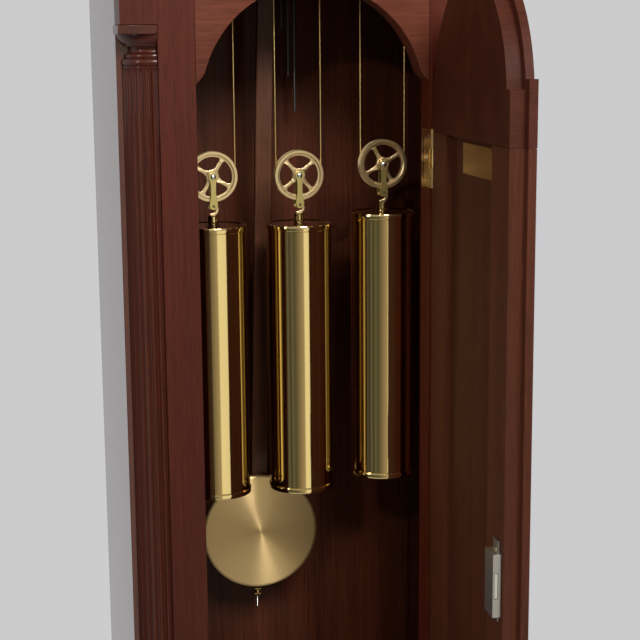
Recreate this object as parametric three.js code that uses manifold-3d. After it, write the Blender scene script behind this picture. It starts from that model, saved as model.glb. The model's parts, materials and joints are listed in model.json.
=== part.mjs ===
// A longcase clock: a three-weight chiming movement in a mahogany case with an arched trunk door.
// Millimetres. X is to the right, Y to the back and Z up. The origin is on the floor, under the
// middle of the plinth. The trunk door stands open and the pendulum is caught a little off centre.
import * as THREE from 'three';
import { mergeVertices } from 'three/addons/utils/BufferGeometryUtils.js';
import Module from 'manifold-3d';

const wasm = await Module();
wasm.setup();

// ---------------------------------------------------------------- driving dimensions
const GAP = 0.3;                 // between pieces that rest on each other
const BOARD = 14;                // case boards

const TRUNK_WIDTH = 340;
const TRUNK_DEPTH = 224;
const TRUNK_HEIGHT = 945;
const CORNER = 32;               // square recess that holds a quarter column
const STILE_THICKNESS = 24;

const BASE_OVERHANG = 40;        // the base is this much wider than the trunk at each side
const BASE_HEIGHT = 385;
const BASE_STEP = 38;            // the base stands this far ahead of the trunk
const PLINTH_STEP = 15;          // the plinth stands this far out from the base
const PLINTH_HEIGHT = 95;

const HOOD_OVERHANG = 32;        // and the hood this much
const HOOD_HEIGHT = 553;
const HOOD_STEP = 38;
const HOOD_BOARD = 16;
const HOOD_LIFT = 15;            // from the trunk's top to the hood's underside

const OPENING_WIDTH = 212;
const SHOULDER_STEP = 5;         // the arch is this much narrower than the opening at each side
const ARCH_DROP = 79;            // arch crown below the trunk's top
const SHOULDER_RISE = 17;        // shoulders above the arch's centre
const OPENING_SILL = 85;         // sill above the base's top

const DOOR_STANDOFF = 1.4;       // from the frame to the shut door's inner face
const DOOR_OVERLAP = 3.2;        // how far the shut door covers the frame at each side
const DOOR_SHOULDER_DROP = 2;    // door's shoulders below the opening's
const DOOR_ARCH_RISE = 6;        // door's arch centre above the opening's
const DOOR_THICKNESS = 12.5;     // of the layer at the back
const DOOR_LIP = 8;              // how far the layer at the front reaches beyond it
const LIP_THICKNESS = 7;
const DOOR_STILE = 44;
const DOOR_HEAD_DROP = 46;       // panel's top edge below the shoulders
const DOOR_RAIL = 60;
const PANEL_THICKNESS = 9;
const PANEL_RECESS = 5.6;        // panel's inner face below the door's
const DOOR_OPEN = 86.5;          // degrees

const HINGE_LENGTH = 53;
const HINGE_LEAF = 1.6;
const KNUCKLE_RADIUS = 3;
const HINGE_END = 44;            // hinge centre from the end of the panel

const LOCK_WIDTH = 21;
const LOCK_HEIGHT = 53;
const LOCK_DEPTH = 7;
const BOLT_THICKNESS = 2.6;
const BOLT_HEIGHT = 21;
const BOLT_THROW = 6;
const LOCK_DROP = 397;           // lock's middle below the arch's shoulders
const PLUG_RADIUS = 5;           // round plug that the key turns
const PLUG_PROUD = 1.5;

const DIAL_WIDTH = 280;
const DIAL_ARCH = 105;
const DIAL_THICKNESS = 2;
const SEAT_RISE = 185;           // seatboard's top above the trunk's top
const SEAT_THICKNESS = 20;
const DIAL_RISE = 73;            // hands' centre above the seatboard
const PLATE_THICKNESS = 3;
const PLATE_HEIGHT = 170;
const PLATE_MARGIN = 31.6;       // plates' edge beyond the outer barrels

const WEIGHT_SPACING = 81.4;
const WEIGHT_RADIUS = 30;
const WEIGHT_LENGTH = 254;
const WEIGHT_SET_BACK = 64;      // weights' axis behind the trunk's front
const PULLEY_DROP = 435;         // middle pulley's centre below the seatboard's top
const PULLEY_LIFTS = [1, 0, 8];  // left, middle and right weight above the middle one
const PULLEY_TURNS = [59, 42, 29];
const GROOVE_RADIUS = 21.5;      // cable's centre line on the pulley and on the drum
const PULLEY_RADIUS = 23.5;
const PULLEY_WIDTH = 7;
const HANG = 44.6;               // weight's top below its pulley's centre
const CABLE_RADIUS = 0.75;

const PIVOT_RISE = 153;          // suspension point above the seatboard's top
const PENDULUM_LENGTH = 953;     // suspension point to bob's centre
const PENDULUM_SET_BACK = 129;   // bob's face behind the trunk's front
const SWING = 1.6;               // degrees to the left of plumb
const BOB_RADIUS = 58;
const BOB_THICKNESS = 9;
const STICK_WIDTH = 16.4;
const STICK_THICKNESS = 7;

const ROD_SET_BACK = 180;        // chime rods behind the trunk's front
const ROD_RADIUS = 1.6;
const ROD_PITCH = 6.5;
const ROD_TIPS = [350, 382, 414, 460, 495];   // rod tips below the chime block

// ---------------------------------------------------------------- places that follow from them
const BASE_WIDTH = TRUNK_WIDTH + 2 * BASE_OVERHANG;
const HOOD_WIDTH = TRUNK_WIDTH + 2 * HOOD_OVERHANG;
const ARCH_RADIUS = OPENING_WIDTH / 2 - SHOULDER_STEP;
const DEPTH = TRUNK_DEPTH + BASE_STEP + PLINTH_STEP;
const BACK = DEPTH / 2;
const FRONT = BACK - TRUNK_DEPTH;
const INNER_BACK = BACK - BOARD;
const BASE_TOP = PLINTH_HEIGHT + BASE_HEIGHT;
const TRUNK_TOP = BASE_TOP + TRUNK_HEIGHT;
const HOOD_BOTTOM = TRUNK_TOP + HOOD_LIFT;
const HOOD_TOP = HOOD_BOTTOM + HOOD_HEIGHT;
const HOOD_FRONT = FRONT - HOOD_STEP;
const ARCH_CENTRE = TRUNK_TOP - ARCH_DROP - ARCH_RADIUS;
const SHOULDER = ARCH_CENTRE + SHOULDER_RISE;
const SILL = BASE_TOP + OPENING_SILL;
const SEAT_TOP = TRUNK_TOP + SEAT_RISE;
const DIAL_CENTRE = SEAT_TOP + DIAL_RISE;
const PIVOT = SEAT_TOP + PIVOT_RISE;
const WEIGHT_Y = FRONT + WEIGHT_SET_BACK;
const PULLEY_CENTRE = SEAT_TOP - PULLEY_DROP;
const DIAL_FACE = HOOD_FRONT + HOOD_BOARD + 12;
const FRONT_PLATE = DIAL_FACE + 30;
const BACK_PLATE = WEIGHT_Y + 42;

// ---------------------------------------------------------------- materials
function finish(colour, roughness, metalness) {
  return new THREE.MeshStandardMaterial({ color: colour, roughness, metalness });
}
const mahogany = finish(0x4a1a0e, 0.25, 0);
const redMahogany = finish(0x6a2412, 0.25, 0);
const darkWood = finish(0x2c150d, 0.4, 0);
const brass = finish(0xc8973f, 0.15, 1);
const satinBrass = finish(0xcdb27a, 0.35, 1);
const steel = finish(0x77777a, 0.3, 1);
const darkSteel = finish(0x2b2b2e, 0.4, 1);
const silvered = finish(0xd9d6cc, 0.4, 0.3);
const glass = new THREE.MeshStandardMaterial({ color: 0xffffff, roughness: 0.05, transparent: true,
  opacity: 0.3 });

// ---------------------------------------------------------------- geometry helpers
function solid(geometry) {
  const bare = geometry.clone();
  bare.deleteAttribute('normal');
  bare.deleteAttribute('uv');
  const merged = mergeVertices(bare, 1e-4);
  const corners = [];
  for (let i = 0; i < merged.index.count; i += 3) {
    const [a, b, c] = [0, 1, 2].map((k) => merged.index.getX(i + k));
    if (a !== b && b !== c && a !== c) {
      corners.push(a, b, c);
    }
  }
  const vertProperties = new Float32Array(merged.attributes.position.array);
  const body = (triVerts) => new wasm.Manifold(new wasm.Mesh({ numProp: 3, vertProperties, triVerts }));
  const made = body(new Uint32Array(corners));
  return made.volume() > 0 ? made : body(new Uint32Array(corners.reverse()));
}

function geometryOf(manifold) {
  const mesh = manifold.getMesh();
  const geometry = new THREE.BufferGeometry();
  geometry.setAttribute('position', new THREE.BufferAttribute(mesh.vertProperties, 3));
  geometry.setIndex(new THREE.BufferAttribute(mesh.triVerts, 1));
  geometry.computeVertexNormals();
  return geometry;
}

function join(first, ...others) {
  return others.reduce((sum, next) => sum.add(next), first);
}

function cut(first, ...others) {
  return others.reduce((rest, next) => rest.subtract(next), first);
}

function box(x0, x1, y0, y1, z0, z1) {
  const block = new THREE.BoxGeometry(x1 - x0, y1 - y0, z1 - z0);
  return solid(block.translate((x0 + x1) / 2, (y0 + y1) / 2, (z0 + z1) / 2));
}

function outline(points) {
  return new THREE.Shape(points.map(([x, y]) => new THREE.Vector2(x, y)));
}

// A shape drawn in plan, X and Y, standing from z0 to z1.
function standing(shape, z0, z1, segments = 12) {
  const options = { depth: z1 - z0, bevelEnabled: false, curveSegments: segments };
  return solid(new THREE.ExtrudeGeometry(shape, options).translate(0, 0, z0));
}

// A shape drawn from the front, X and Z, between two depths.
function facing(shape, y0, y1, segments = 12) {
  const options = { depth: y1 - y0, bevelEnabled: false, curveSegments: segments };
  return solid(new THREE.ExtrudeGeometry(shape, options).rotateX(Math.PI / 2).translate(0, y1, 0));
}

// A shape drawn from the side, Y and Z, between two places across.
function crossing(shape, x0, x1) {
  const turn = new THREE.Matrix4().set(0, 0, 1, x0, 1, 0, 0, 0, 0, 1, 0, 0, 0, 0, 0, 1);
  return solid(new THREE.ExtrudeGeometry(shape, { depth: x1 - x0, bevelEnabled: false }).applyMatrix4(turn));
}

// A turned piece: pairs of radius and height, about an upright axis.
function turned(profile, segments = 20) {
  const points = profile.map(([r, z]) => new THREE.Vector2(r, z));
  return solid(new THREE.LatheGeometry(points, segments).rotateX(Math.PI / 2));
}

// A turned piece about an axis that runs from front to back: pairs of radius and depth.
function wheel(profile, segments = 20) {
  const points = profile.map(([r, y]) => new THREE.Vector2(r, y));
  return solid(new THREE.LatheGeometry(points, segments));
}

function rodAlongY(radius, y0, y1, segments = 10) {
  return wheel([[0, y0], [radius, y0], [radius, y1], [0, y1]], segments);
}

function post(radius, z0, z1, segments = 10) {
  return turned([[0, z0], [radius, z0], [radius, z1], [0, z1]], segments);
}

const clock = new THREE.Group();

function piece(name, body, material, parent = clock) {
  const mesh = new THREE.Mesh(geometryOf(body), material);
  mesh.name = name;
  parent.add(mesh);
  return mesh;
}

// A moulding that runs round the left side, the front and the right side of a box.
// The profile is a list of how far out and how high, and its last corners lie on the box.
function mouldingRound(profile, halfWidth, front, back) {
  const path = (out) => [
    [-halfWidth - out, back], [-halfWidth - out, front - out],
    [halfWidth + out, front - out], [halfWidth + out, back],
  ];
  const stations = 4;
  const count = profile.length;
  const positions = [];
  for (let s = 0; s < stations; s += 1) {
    for (const [out, z] of profile) {
      positions.push(...path(out)[s], z);
    }
  }
  const corners = [];
  for (let s = 0; s + 1 < stations; s += 1) {
    for (let i = 0; i < count; i += 1) {
      const j = (i + 1) % count;
      const [a, b, c, d] = [s * count + i, s * count + j, (s + 1) * count + j, (s + 1) * count + i];
      corners.push(a, b, c, a, c, d);
    }
  }
  const flat = profile.map(([out, z]) => new THREE.Vector2(out, z));
  const last = (stations - 1) * count;
  for (const [a, b, c] of THREE.ShapeUtils.triangulateShape(flat, [])) {
    corners.push(a, c, b, last + a, last + b, last + c);
  }
  const geometry = new THREE.BufferGeometry();
  geometry.setAttribute('position', new THREE.Float32BufferAttribute(positions, 3));
  geometry.setIndex(corners);
  return solid(geometry);
}

// ---------------------------------------------------------------- plinth and base
const baseHalf = BASE_WIDTH / 2;
const baseFront = FRONT - BASE_STEP;
const plinthHalf = baseHalf + PLINTH_STEP;
const plinthFront = baseFront - PLINTH_STEP;
const PLINTH_WALL = 20;

piece('plinth', cut(
  box(-plinthHalf, plinthHalf, plinthFront, BACK, 0, PLINTH_HEIGHT),
  box(-plinthHalf + PLINTH_WALL, plinthHalf - PLINTH_WALL, plinthFront + PLINTH_WALL, BACK - PLINTH_WALL,
    BOARD, PLINTH_HEIGHT + 1),
), mahogany);

const PANEL_MARGIN = 62;
const basePanelHalf = baseHalf - PANEL_MARGIN;
const basePanelLow = PLINTH_HEIGHT + PANEL_MARGIN;
const basePanelHigh = BASE_TOP - PANEL_MARGIN;
piece('base_carcass', cut(
  box(-baseHalf, baseHalf, baseFront, BACK, PLINTH_HEIGHT + GAP, BASE_TOP),
  box(-baseHalf + BOARD, baseHalf - BOARD, baseFront + BOARD, BACK + 1, PLINTH_HEIGHT, BASE_TOP - BOARD),
  box(-basePanelHalf, basePanelHalf, baseFront - 1, baseFront + BOARD + 1, basePanelLow, basePanelHigh),
  box(-TRUNK_WIDTH / 2 + BOARD, TRUNK_WIDTH / 2 - BOARD, FRONT + BOARD, BACK + 1, BASE_TOP - BOARD - 1,
    BASE_TOP + 1),
), mahogany);

const FIELD = 28;
const basePanelEdge = basePanelHalf - GAP;
piece('base_panel', join(
  box(-basePanelEdge, basePanelEdge, baseFront + 4, baseFront + BOARD, basePanelLow + GAP,
    basePanelHigh - GAP),
  box(-basePanelEdge + FIELD, basePanelEdge - FIELD, baseFront - 2, baseFront + 5,
    basePanelLow + FIELD, basePanelHigh - FIELD),
), redMahogany);

// ---------------------------------------------------------------- trunk
const trunkHalf = TRUNK_WIDTH / 2;
const openingHalf = OPENING_WIDTH / 2;
const stileOuter = trunkHalf - CORNER;
const sideInner = trunkHalf - BOARD;
const seatUnder = SEAT_TOP - SEAT_THICKNESS;
const WAIST_RISE = 62;
const COLUMN_TOP = TRUNK_TOP - 113;
const COLUMN_FOOT = BASE_TOP + WAIST_RISE + 18;

const backHalves = [
  [baseHalf - BOARD - GAP, PLINTH_HEIGHT + GAP, BASE_TOP - BOARD - GAP],
  [sideInner - GAP, BASE_TOP - BOARD - 1, HOOD_BOTTOM + 1],
  [HOOD_WIDTH / 2 - BOARD - GAP, HOOD_BOTTOM + GAP, HOOD_TOP - BOARD - GAP],
];
piece('back_board', join(...backHalves.map(([half, low, high]) => box(-half, half, INNER_BACK, BACK, low,
  high))),
  darkWood);

const sideOutline = outline([
  [FRONT + CORNER + GAP, BASE_TOP + GAP], [BACK, BASE_TOP + GAP], [BACK, HOOD_BOTTOM - 2],
  [INNER_BACK - GAP, HOOD_BOTTOM - 2], [INNER_BACK - GAP, seatUnder - GAP], [FRONT + CORNER + GAP,
    seatUnder - GAP],
]);
piece('trunk_side_left', crossing(sideOutline, -trunkHalf, -sideInner), mahogany);
piece('trunk_side_right', crossing(sideOutline, sideInner, trunkHalf), mahogany);

// The hinge line stands ahead of the frame, just beyond the door's edge.
const HINGE_OFFSET = 0.2;
const hingeX = openingHalf + DOOR_OVERLAP + HINGE_OFFSET;
const hingeY = FRONT - KNUCKLE_RADIUS - GAP;
const panelTop = SHOULDER - DOOR_HEAD_DROP;
const panelBottom = SILL + DOOR_RAIL;
const hingeHeights = { upper: panelTop + 20 - HINGE_END, lower: panelBottom + HINGE_END };
const lockZ = SHOULDER - LOCK_DROP;
const LEAF_DEPTH = 21;           // frame's leaf, from the trunk's front
const DOOR_LEAF_WIDTH = 12;      // door's leaf, from the hinge line

function frontStile(side) {
  const plan = outline([
    [openingHalf, FRONT], [openingHalf, FRONT + STILE_THICKNESS],
    [stileOuter - 10, FRONT + STILE_THICKNESS], [stileOuter - 10, FRONT + CORNER + 24],
    [sideInner - GAP, FRONT + CORNER + 24], [sideInner - GAP, FRONT + CORNER + GAP],
    [stileOuter, FRONT + CORNER + GAP], [stileOuter, FRONT],
  ]);
  const low = BASE_TOP + GAP;
  const length = standing(plan, low, TRUNK_TOP);
  const blocks = [[low, COLUMN_FOOT - GAP], [COLUMN_TOP + GAP, TRUNK_TOP]];
  const corner = blocks.map(([z0, z1]) => box(stileOuter - 1, trunkHalf, FRONT, FRONT + CORNER, z0, z1));
  const stile = join(length, ...corner);
  return side > 0 ? stile : stile.mirror([1, 0, 0]);
}
const leafPockets = Object.values(hingeHeights).map((z) => box(
  openingHalf - 1, openingHalf + HINGE_LEAF + GAP, FRONT - 1, FRONT + LEAF_DEPTH + GAP,
  z - HINGE_LENGTH / 2 - GAP, z + HINGE_LENGTH / 2 + GAP,
));
const doorBack = FRONT - DOOR_STANDOFF;
const lockFace = doorBack + GAP;
const BOLT_WALL = 1.5;
const boltY = lockFace + LOCK_DEPTH - BOLT_WALL - BOLT_THICKNESS / 2;
const boltPocket = box(-openingHalf - BOLT_THROW - 3, -openingHalf + 1, boltY - BOLT_THICKNESS / 2 - 1,
  boltY + BOLT_THICKNESS / 2 + 1, lockZ - BOLT_HEIGHT / 2 - 1, lockZ + BOLT_HEIGHT / 2 + 1);
piece('front_stile_left', cut(frontStile(-1), boltPocket), mahogany);
piece('front_stile_right', cut(frontStile(1), ...leafPockets), mahogany);

// A rectangle with an arch between two shoulders on top, as the trunk's opening and its door have.
function archShape(half, radius, shoulder, bottom, centre = ARCH_CENTRE) {
  const springing = shoulder - centre;
  const start = Math.asin(springing / radius);
  const shape = new THREE.Shape();
  shape.moveTo(-half, bottom);
  shape.lineTo(half, bottom);
  shape.lineTo(half, shoulder);
  shape.lineTo(radius * Math.cos(start), shoulder);
  shape.absarc(0, centre, radius, start, Math.PI - start, false);
  shape.lineTo(-half, shoulder);
  return shape;
}
const ARCH_SEGMENTS = 24;
const archOpening = facing(archShape(openingHalf + 1, ARCH_RADIUS, SHOULDER, SILL), FRONT - 1,
  FRONT + STILE_THICKNESS + 1, ARCH_SEGMENTS);
piece('arch_rail', cut(
  box(-openingHalf + GAP, openingHalf - GAP, FRONT, FRONT + STILE_THICKNESS, SHOULDER, TRUNK_TOP),
  archOpening,
), redMahogany);
piece('bottom_rail', box(-openingHalf + GAP, openingHalf - GAP, FRONT, FRONT + STILE_THICKNESS,
  BASE_TOP + GAP, SILL),
  redMahogany);

// A fluted quarter column. Its flat sides meet at the inner corner of the recess.
const SHAFT_RADIUS = 27;
const FLUTES = 7;
const FLUTE_DEPTH = 1.8;
function flutedQuarter() {
  const points = [[0, 0]];
  const pitch = Math.PI / 2 / FLUTES;
  for (let flute = 0; flute < FLUTES; flute += 1) {
    for (const along of [0.06, 0.22, 0.5, 0.78, 0.94]) {
      const across = (along - 0.5) / 0.44;
      const sink = FLUTE_DEPTH * Math.sqrt(Math.max(0, 1 - across * across));
      const angle = (flute + along) * pitch;
      points.push([(SHAFT_RADIUS - sink) * Math.cos(angle), (SHAFT_RADIUS - sink) * Math.sin(angle)]);
    }
  }
  return outline(points);
}
// Radius and distance from the column's end: abacus excepted, from the shaft outward.
const CAPITAL = [[0, 35], [27.4, 35], [27.4, 29], [25, 28.4], [25, 25], [21, 23.8], [21, 18.6], [25.4, 18],
  [30.6, 11], [30.6, 7], [0, 7]];
const ABACUS = 8;
function plainQuarter() {
  const steps = [0, 1, 2, 3, 4, 5, 6].map((k) => (k * Math.PI) / 12);
  return outline([[0, 0], ...steps.map((angle) => [SHAFT_RADIUS * Math.cos(angle),
    SHAFT_RADIUS * Math.sin(angle)])]);
}
function quarterColumn(low, high, section) {
  const keep = box(0, 40, -40, 0, low, high);
  const top = turned(CAPITAL.map(([r, d]) => [r, high - d]), 24).intersect(keep);
  const foot = turned(CAPITAL.map(([r, d]) => [r, low + d]), 24).intersect(keep);
  const shaft = standing(section, low + 30, high - 30).rotate([0, 0, -90]);
  const slabs = [low, high - ABACUS].map((z) => box(0, CORNER + 1.5, -CORNER - 1.5, 0, z, z + ABACUS));
  return join(shaft, top, foot, ...slabs);
}
for (const [name, side] of [['quarter_column_left', -1], ['quarter_column_right', 1]]) {
  const right = quarterColumn(COLUMN_FOOT, COLUMN_TOP, flutedQuarter()).translate([stileOuter + GAP,
    FRONT + CORNER, 0]);
  piece(name, side > 0 ? right : right.mirror([1, 0, 0]), mahogany);
}

// Mouldings round the trunk: pairs of how far out and how high.
const waist = [[GAP, 0], [BASE_STEP - 2, 0], [BASE_STEP - 2, 8], [33, 12], [27, 15], [25, 20], [24, 27],
  [20, 36],
  [13, 43], [12, 48], [9, 50], [9, 54], [5, 57], [4, WAIST_RISE], [GAP, WAIST_RISE]];
piece('waist_moulding', mouldingRound(waist.map(([out, z]) => [out, BASE_TOP + GAP + z]), trunkHalf,
  FRONT, BACK),
  mahogany);
const underHood = [[GAP, -55], [5, -55], [6, -49], [10, -46], [10, -42], [14, -38], [20, -27], [29, -16],
  [33, -8],
  [37, -5], [38, 0], [38, HOOD_LIFT - GAP], [GAP, HOOD_LIFT - GAP]];
piece('hood_moulding', mouldingRound(underHood.map(([out, z]) => [out, TRUNK_TOP + z]), trunkHalf, FRONT,
  BACK),
  mahogany);

// ---------------------------------------------------------------- trunk door
const door = new THREE.Group();
door.position.set(hingeX, hingeY, 0);
door.rotation.z = THREE.MathUtils.degToRad(DOOR_OPEN);
clock.add(door);

// Door pieces are drawn shut, then moved so that the hinge line is their origin.
function doorPiece(name, body, material) {
  return piece(name, body.translate([-hingeX, -hingeY, 0]), material, door);
}
const doorHalf = openingHalf + DOOR_OVERLAP;
const doorBottom = SILL - DOOR_OVERLAP;
const doorShoulder = SHOULDER - DOOR_SHOULDER_DROP;
const doorArch = ARCH_CENTRE + DOOR_ARCH_RISE;
const lipBack = doorBack - DOOR_THICKNESS;
const doorFront = lipBack - LIP_THICKNESS;
const backLayer = facing(archShape(doorHalf, ARCH_RADIUS, doorShoulder, doorBottom, doorArch),
  lipBack - 1, doorBack, ARCH_SEGMENTS);
const lipWhole = facing(archShape(doorHalf + DOOR_LIP, ARCH_RADIUS + DOOR_LIP, doorShoulder + DOOR_LIP,
  doorBottom - DOOR_LIP, doorArch), doorFront, lipBack, ARCH_SEGMENTS);
const lip = cut(lipWhole, box(doorHalf, doorHalf + 20, doorFront - 1, lipBack + 1, 0,
  doorShoulder + DOOR_LIP + 1));
const panelHalf = doorHalf - DOOR_STILE;
const lockLeft = -openingHalf + 0.8;
const plugX = lockLeft + LOCK_WIDTH / 2;
const KNUCKLE_ROOM = 1.2;
const hingePockets = Object.values(hingeHeights).flatMap((z) => {
  const [low, high] = [z - HINGE_LENGTH / 2 - GAP, z + HINGE_LENGTH / 2 + GAP];
  return [
    box(doorHalf - HINGE_LEAF - GAP, doorHalf + 1, hingeY - DOOR_LEAF_WIDTH - GAP, hingeY, low, high),
    post(KNUCKLE_RADIUS + KNUCKLE_ROOM, low, high).translate([hingeX, hingeY, 0]),
  ];
});
const doorWhole = cut(
  join(backLayer, lip),
  box(-panelHalf, panelHalf, doorFront - 1, doorBack + 1, panelBottom, panelTop),
  rodAlongY(PLUG_RADIUS + GAP, doorFront - 1, doorBack + 1).translate([plugX, 0, lockZ]),
  ...hingePockets,
);
const far = TRUNK_WIDTH;
const doorTop = TRUNK_TOP;
const doorParts = [
  ['door_head', [-far, far, panelTop + GAP / 2, doorTop], redMahogany],
  ['door_bottom_rail', [-far, far, 0, panelBottom - GAP / 2], redMahogany],
  ['door_stile_free', [-far, 0, panelBottom + GAP / 2, panelTop - GAP / 2], mahogany],
  ['door_stile_hinge', [0, far, panelBottom + GAP / 2, panelTop - GAP / 2], mahogany],
];
for (const [name, [x0, x1, z0, z1], material] of doorParts) {
  doorPiece(name, doorWhole.intersect(box(x0, x1, -far, far, z0, z1)), material);
}
const panelBack = doorBack - PANEL_RECESS;
const panelFront = panelBack - PANEL_THICKNESS;
const DOOR_FIELD = { margin: 22, rise: 3 };
doorPiece('door_panel', join(
  box(-panelHalf + GAP, panelHalf - GAP, panelFront, panelBack, panelBottom + GAP, panelTop - GAP),
  box(-panelHalf + DOOR_FIELD.margin, panelHalf - DOOR_FIELD.margin, panelFront - DOOR_FIELD.rise,
    panelFront + 1,
    panelBottom + DOOR_FIELD.margin, panelTop - DOOR_FIELD.margin),
), darkWood);

// A plate near the free side of the panel.
const TAG = { margin: 4, share: 0.67, height: 26, thickness: 1.2, drop: 4 };
const tagTop = panelTop - TAG.drop;
const tagLeft = -panelHalf + TAG.margin;
doorPiece('door_plate', box(tagLeft, tagLeft + TAG.share * 2 * panelHalf, panelBack + GAP,
  panelBack + GAP + TAG.thickness, tagTop - TAG.height, tagTop), brass);

// Lock case on the free stile's inner face, its bolt, and the plug that the key turns.
const lockHalf = LOCK_HEIGHT / 2;
const EARS = { inset: 4, thickness: 1.6, above: 10, below: 5 };
doorPiece('lock_case', cut(
  join(
    box(lockLeft, lockLeft + LOCK_WIDTH, lockFace, lockFace + LOCK_DEPTH, lockZ - lockHalf, lockZ + lockHalf),
    box(lockLeft + EARS.inset, lockLeft + LOCK_WIDTH - EARS.inset, lockFace, lockFace + EARS.thickness,
      lockZ - lockHalf - EARS.below, lockZ + lockHalf + EARS.above),
  ),
  box(lockLeft - 1, lockLeft + LOCK_WIDTH - 3, boltY - BOLT_THICKNESS / 2 - GAP,
    boltY + BOLT_THICKNESS / 2 + GAP,
    lockZ - BOLT_HEIGHT / 2 - GAP, lockZ + BOLT_HEIGHT / 2 + GAP),
), steel);
doorPiece('lock_bolt', box(lockLeft + 0.2, lockLeft + LOCK_WIDTH - 8, boltY - BOLT_THICKNESS / 2,
  boltY + BOLT_THICKNESS / 2, lockZ - BOLT_HEIGHT / 2, lockZ + BOLT_HEIGHT / 2), steel);
doorPiece('lock_plug', cut(
  rodAlongY(PLUG_RADIUS, doorFront - PLUG_PROUD, doorBack - 1, 24),
  box(-0.8, 0.8, doorFront - PLUG_PROUD - 1, doorFront + 6, -3.4, 3.4),
).translate([plugX, 0, lockZ]), brass);

// Butt hinges. The frame's leaf holds the pin and the outer knuckles, and the door's leaf the middle one.
const KNUCKLE = HINGE_LENGTH / 3;
const PIN_RADIUS = 1.2;
for (const [which, z] of Object.entries(hingeHeights)) {
  const low = z - HINGE_LENGTH / 2;
  const high = z + HINGE_LENGTH / 2;
  const barrel = (z0, z1) => post(KNUCKLE_RADIUS, z0, z1).translate([hingeX, hingeY, 0]);
  const innerEdge = openingHalf + HINGE_LEAF;
  const frameLeaf = join(
    box(openingHalf, innerEdge, hingeY, FRONT + LEAF_DEPTH, low, high),
    barrel(low, low + KNUCKLE), barrel(high - KNUCKLE, high),
    post(PIN_RADIUS, low + 1, high - 1).translate([hingeX, hingeY, 0]),
  );
  const clear = cut(
    box(openingHalf - 1, hingeX + KNUCKLE_RADIUS + 1, hingeY - 5, FRONT - GAP, low + KNUCKLE, high - KNUCKLE),
    post(PIN_RADIUS, low, high).translate([hingeX, hingeY, 0]),
  );
  piece(`hinge_${which}_frame_leaf`, cut(frameLeaf, clear), brass);
  const middle = [low + KNUCKLE + GAP, high - KNUCKLE - GAP];
  const leafInner = doorHalf - HINGE_LEAF;
  const doorLeaf = join(
    box(leafInner, doorHalf, hingeY - DOOR_LEAF_WIDTH, hingeY - KNUCKLE_RADIUS - GAP, low, high),
    box(leafInner, doorHalf, hingeY - KNUCKLE_RADIUS - 1, hingeY - PIN_RADIUS, ...middle),
    barrel(...middle),
  );
  doorPiece(`hinge_${which}_door_leaf`, cut(doorLeaf,
    post(PIN_RADIUS + GAP, low - 1, high + 1).translate([hingeX, hingeY, 0])), brass);
}

// ---------------------------------------------------------------- hood
const hoodHalf = HOOD_WIDTH / 2;
const hoodFrontHalf = hoodHalf - CORNER;
const DIAL_FRAME = 22;
const dialHalf = DIAL_WIDTH / 2;
const sightHalf = dialHalf - 5;
const dialTop = DIAL_CENTRE + dialHalf;
const doorOuter = sightHalf + DIAL_FRAME + 3;
const HOOD_DOOR_GAP = 1;
const hoodColumnFoot = HOOD_BOTTOM + 42;
const hoodColumnTop = HOOD_TOP - 48;

piece('hood_shell', join(
  box(-hoodHalf, -hoodHalf + BOARD, HOOD_FRONT + CORNER + GAP, BACK, HOOD_BOTTOM + GAP, HOOD_TOP),
  box(hoodHalf - BOARD, hoodHalf, HOOD_FRONT + CORNER + GAP, BACK, HOOD_BOTTOM + GAP, HOOD_TOP),
  box(-hoodHalf, hoodHalf, HOOD_FRONT + CORNER + GAP, BACK, HOOD_TOP - BOARD, HOOD_TOP),
), mahogany);

// A rectangle with a break arch on top, as the dial and its door have.
function breakArch(half, bottom, shoulder, radius) {
  const centre = dialTop;
  const start = Math.asin((shoulder - centre) / radius);
  const shape = new THREE.Shape();
  shape.moveTo(-half, bottom);
  shape.lineTo(half, bottom);
  shape.lineTo(half, shoulder);
  shape.lineTo(radius * Math.cos(start), shoulder);
  shape.absarc(0, centre, radius, start, Math.PI - start, false);
  shape.lineTo(-half, shoulder);
  return shape;
}
const sightBottom = DIAL_CENTRE - sightHalf;
const hoodDoorLow = sightBottom - DIAL_FRAME;
const hoodArch = DIAL_ARCH - 5;
const hoodDoorShape = breakArch(doorOuter, hoodDoorLow, dialTop + DIAL_FRAME - 5, hoodArch + DIAL_FRAME);
const hoodOpening = breakArch(doorOuter + HOOD_DOOR_GAP, hoodDoorLow - HOOD_DOOR_GAP,
  dialTop + DIAL_FRAME - 5 + HOOD_DOOR_GAP, hoodArch + DIAL_FRAME + HOOD_DOOR_GAP);
const hoodBack = HOOD_FRONT + HOOD_BOARD;
const hoodCorner = (side) => {
  const column = quarterColumn(hoodColumnFoot, hoodColumnTop, plainQuarter())
    .translate([hoodFrontHalf - 0.5, HOOD_FRONT + CORNER, 0]);
  const blocks = [[HOOD_BOTTOM + GAP, hoodColumnFoot + 1], [hoodColumnTop - 1, HOOD_TOP]].map(([z0,
    z1]) => box(
    hoodFrontHalf - 1, hoodHalf, HOOD_FRONT, HOOD_FRONT + CORNER, z0, z1));
  const back = box(hoodFrontHalf - 8, hoodFrontHalf + 1, HOOD_FRONT + 4, HOOD_FRONT + CORNER,
    HOOD_BOTTOM + GAP,
    HOOD_TOP);
  const corner = join(column, back, ...blocks);
  return side > 0 ? corner : corner.mirror([1, 0, 0]);
};
piece('hood_front', join(cut(
  box(-hoodFrontHalf, hoodFrontHalf, HOOD_FRONT, hoodBack, HOOD_BOTTOM + GAP, HOOD_TOP),
  facing(hoodOpening, HOOD_FRONT - 1, hoodBack + 1, 20),
), hoodCorner(-1), hoodCorner(1)), mahogany);

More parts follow.
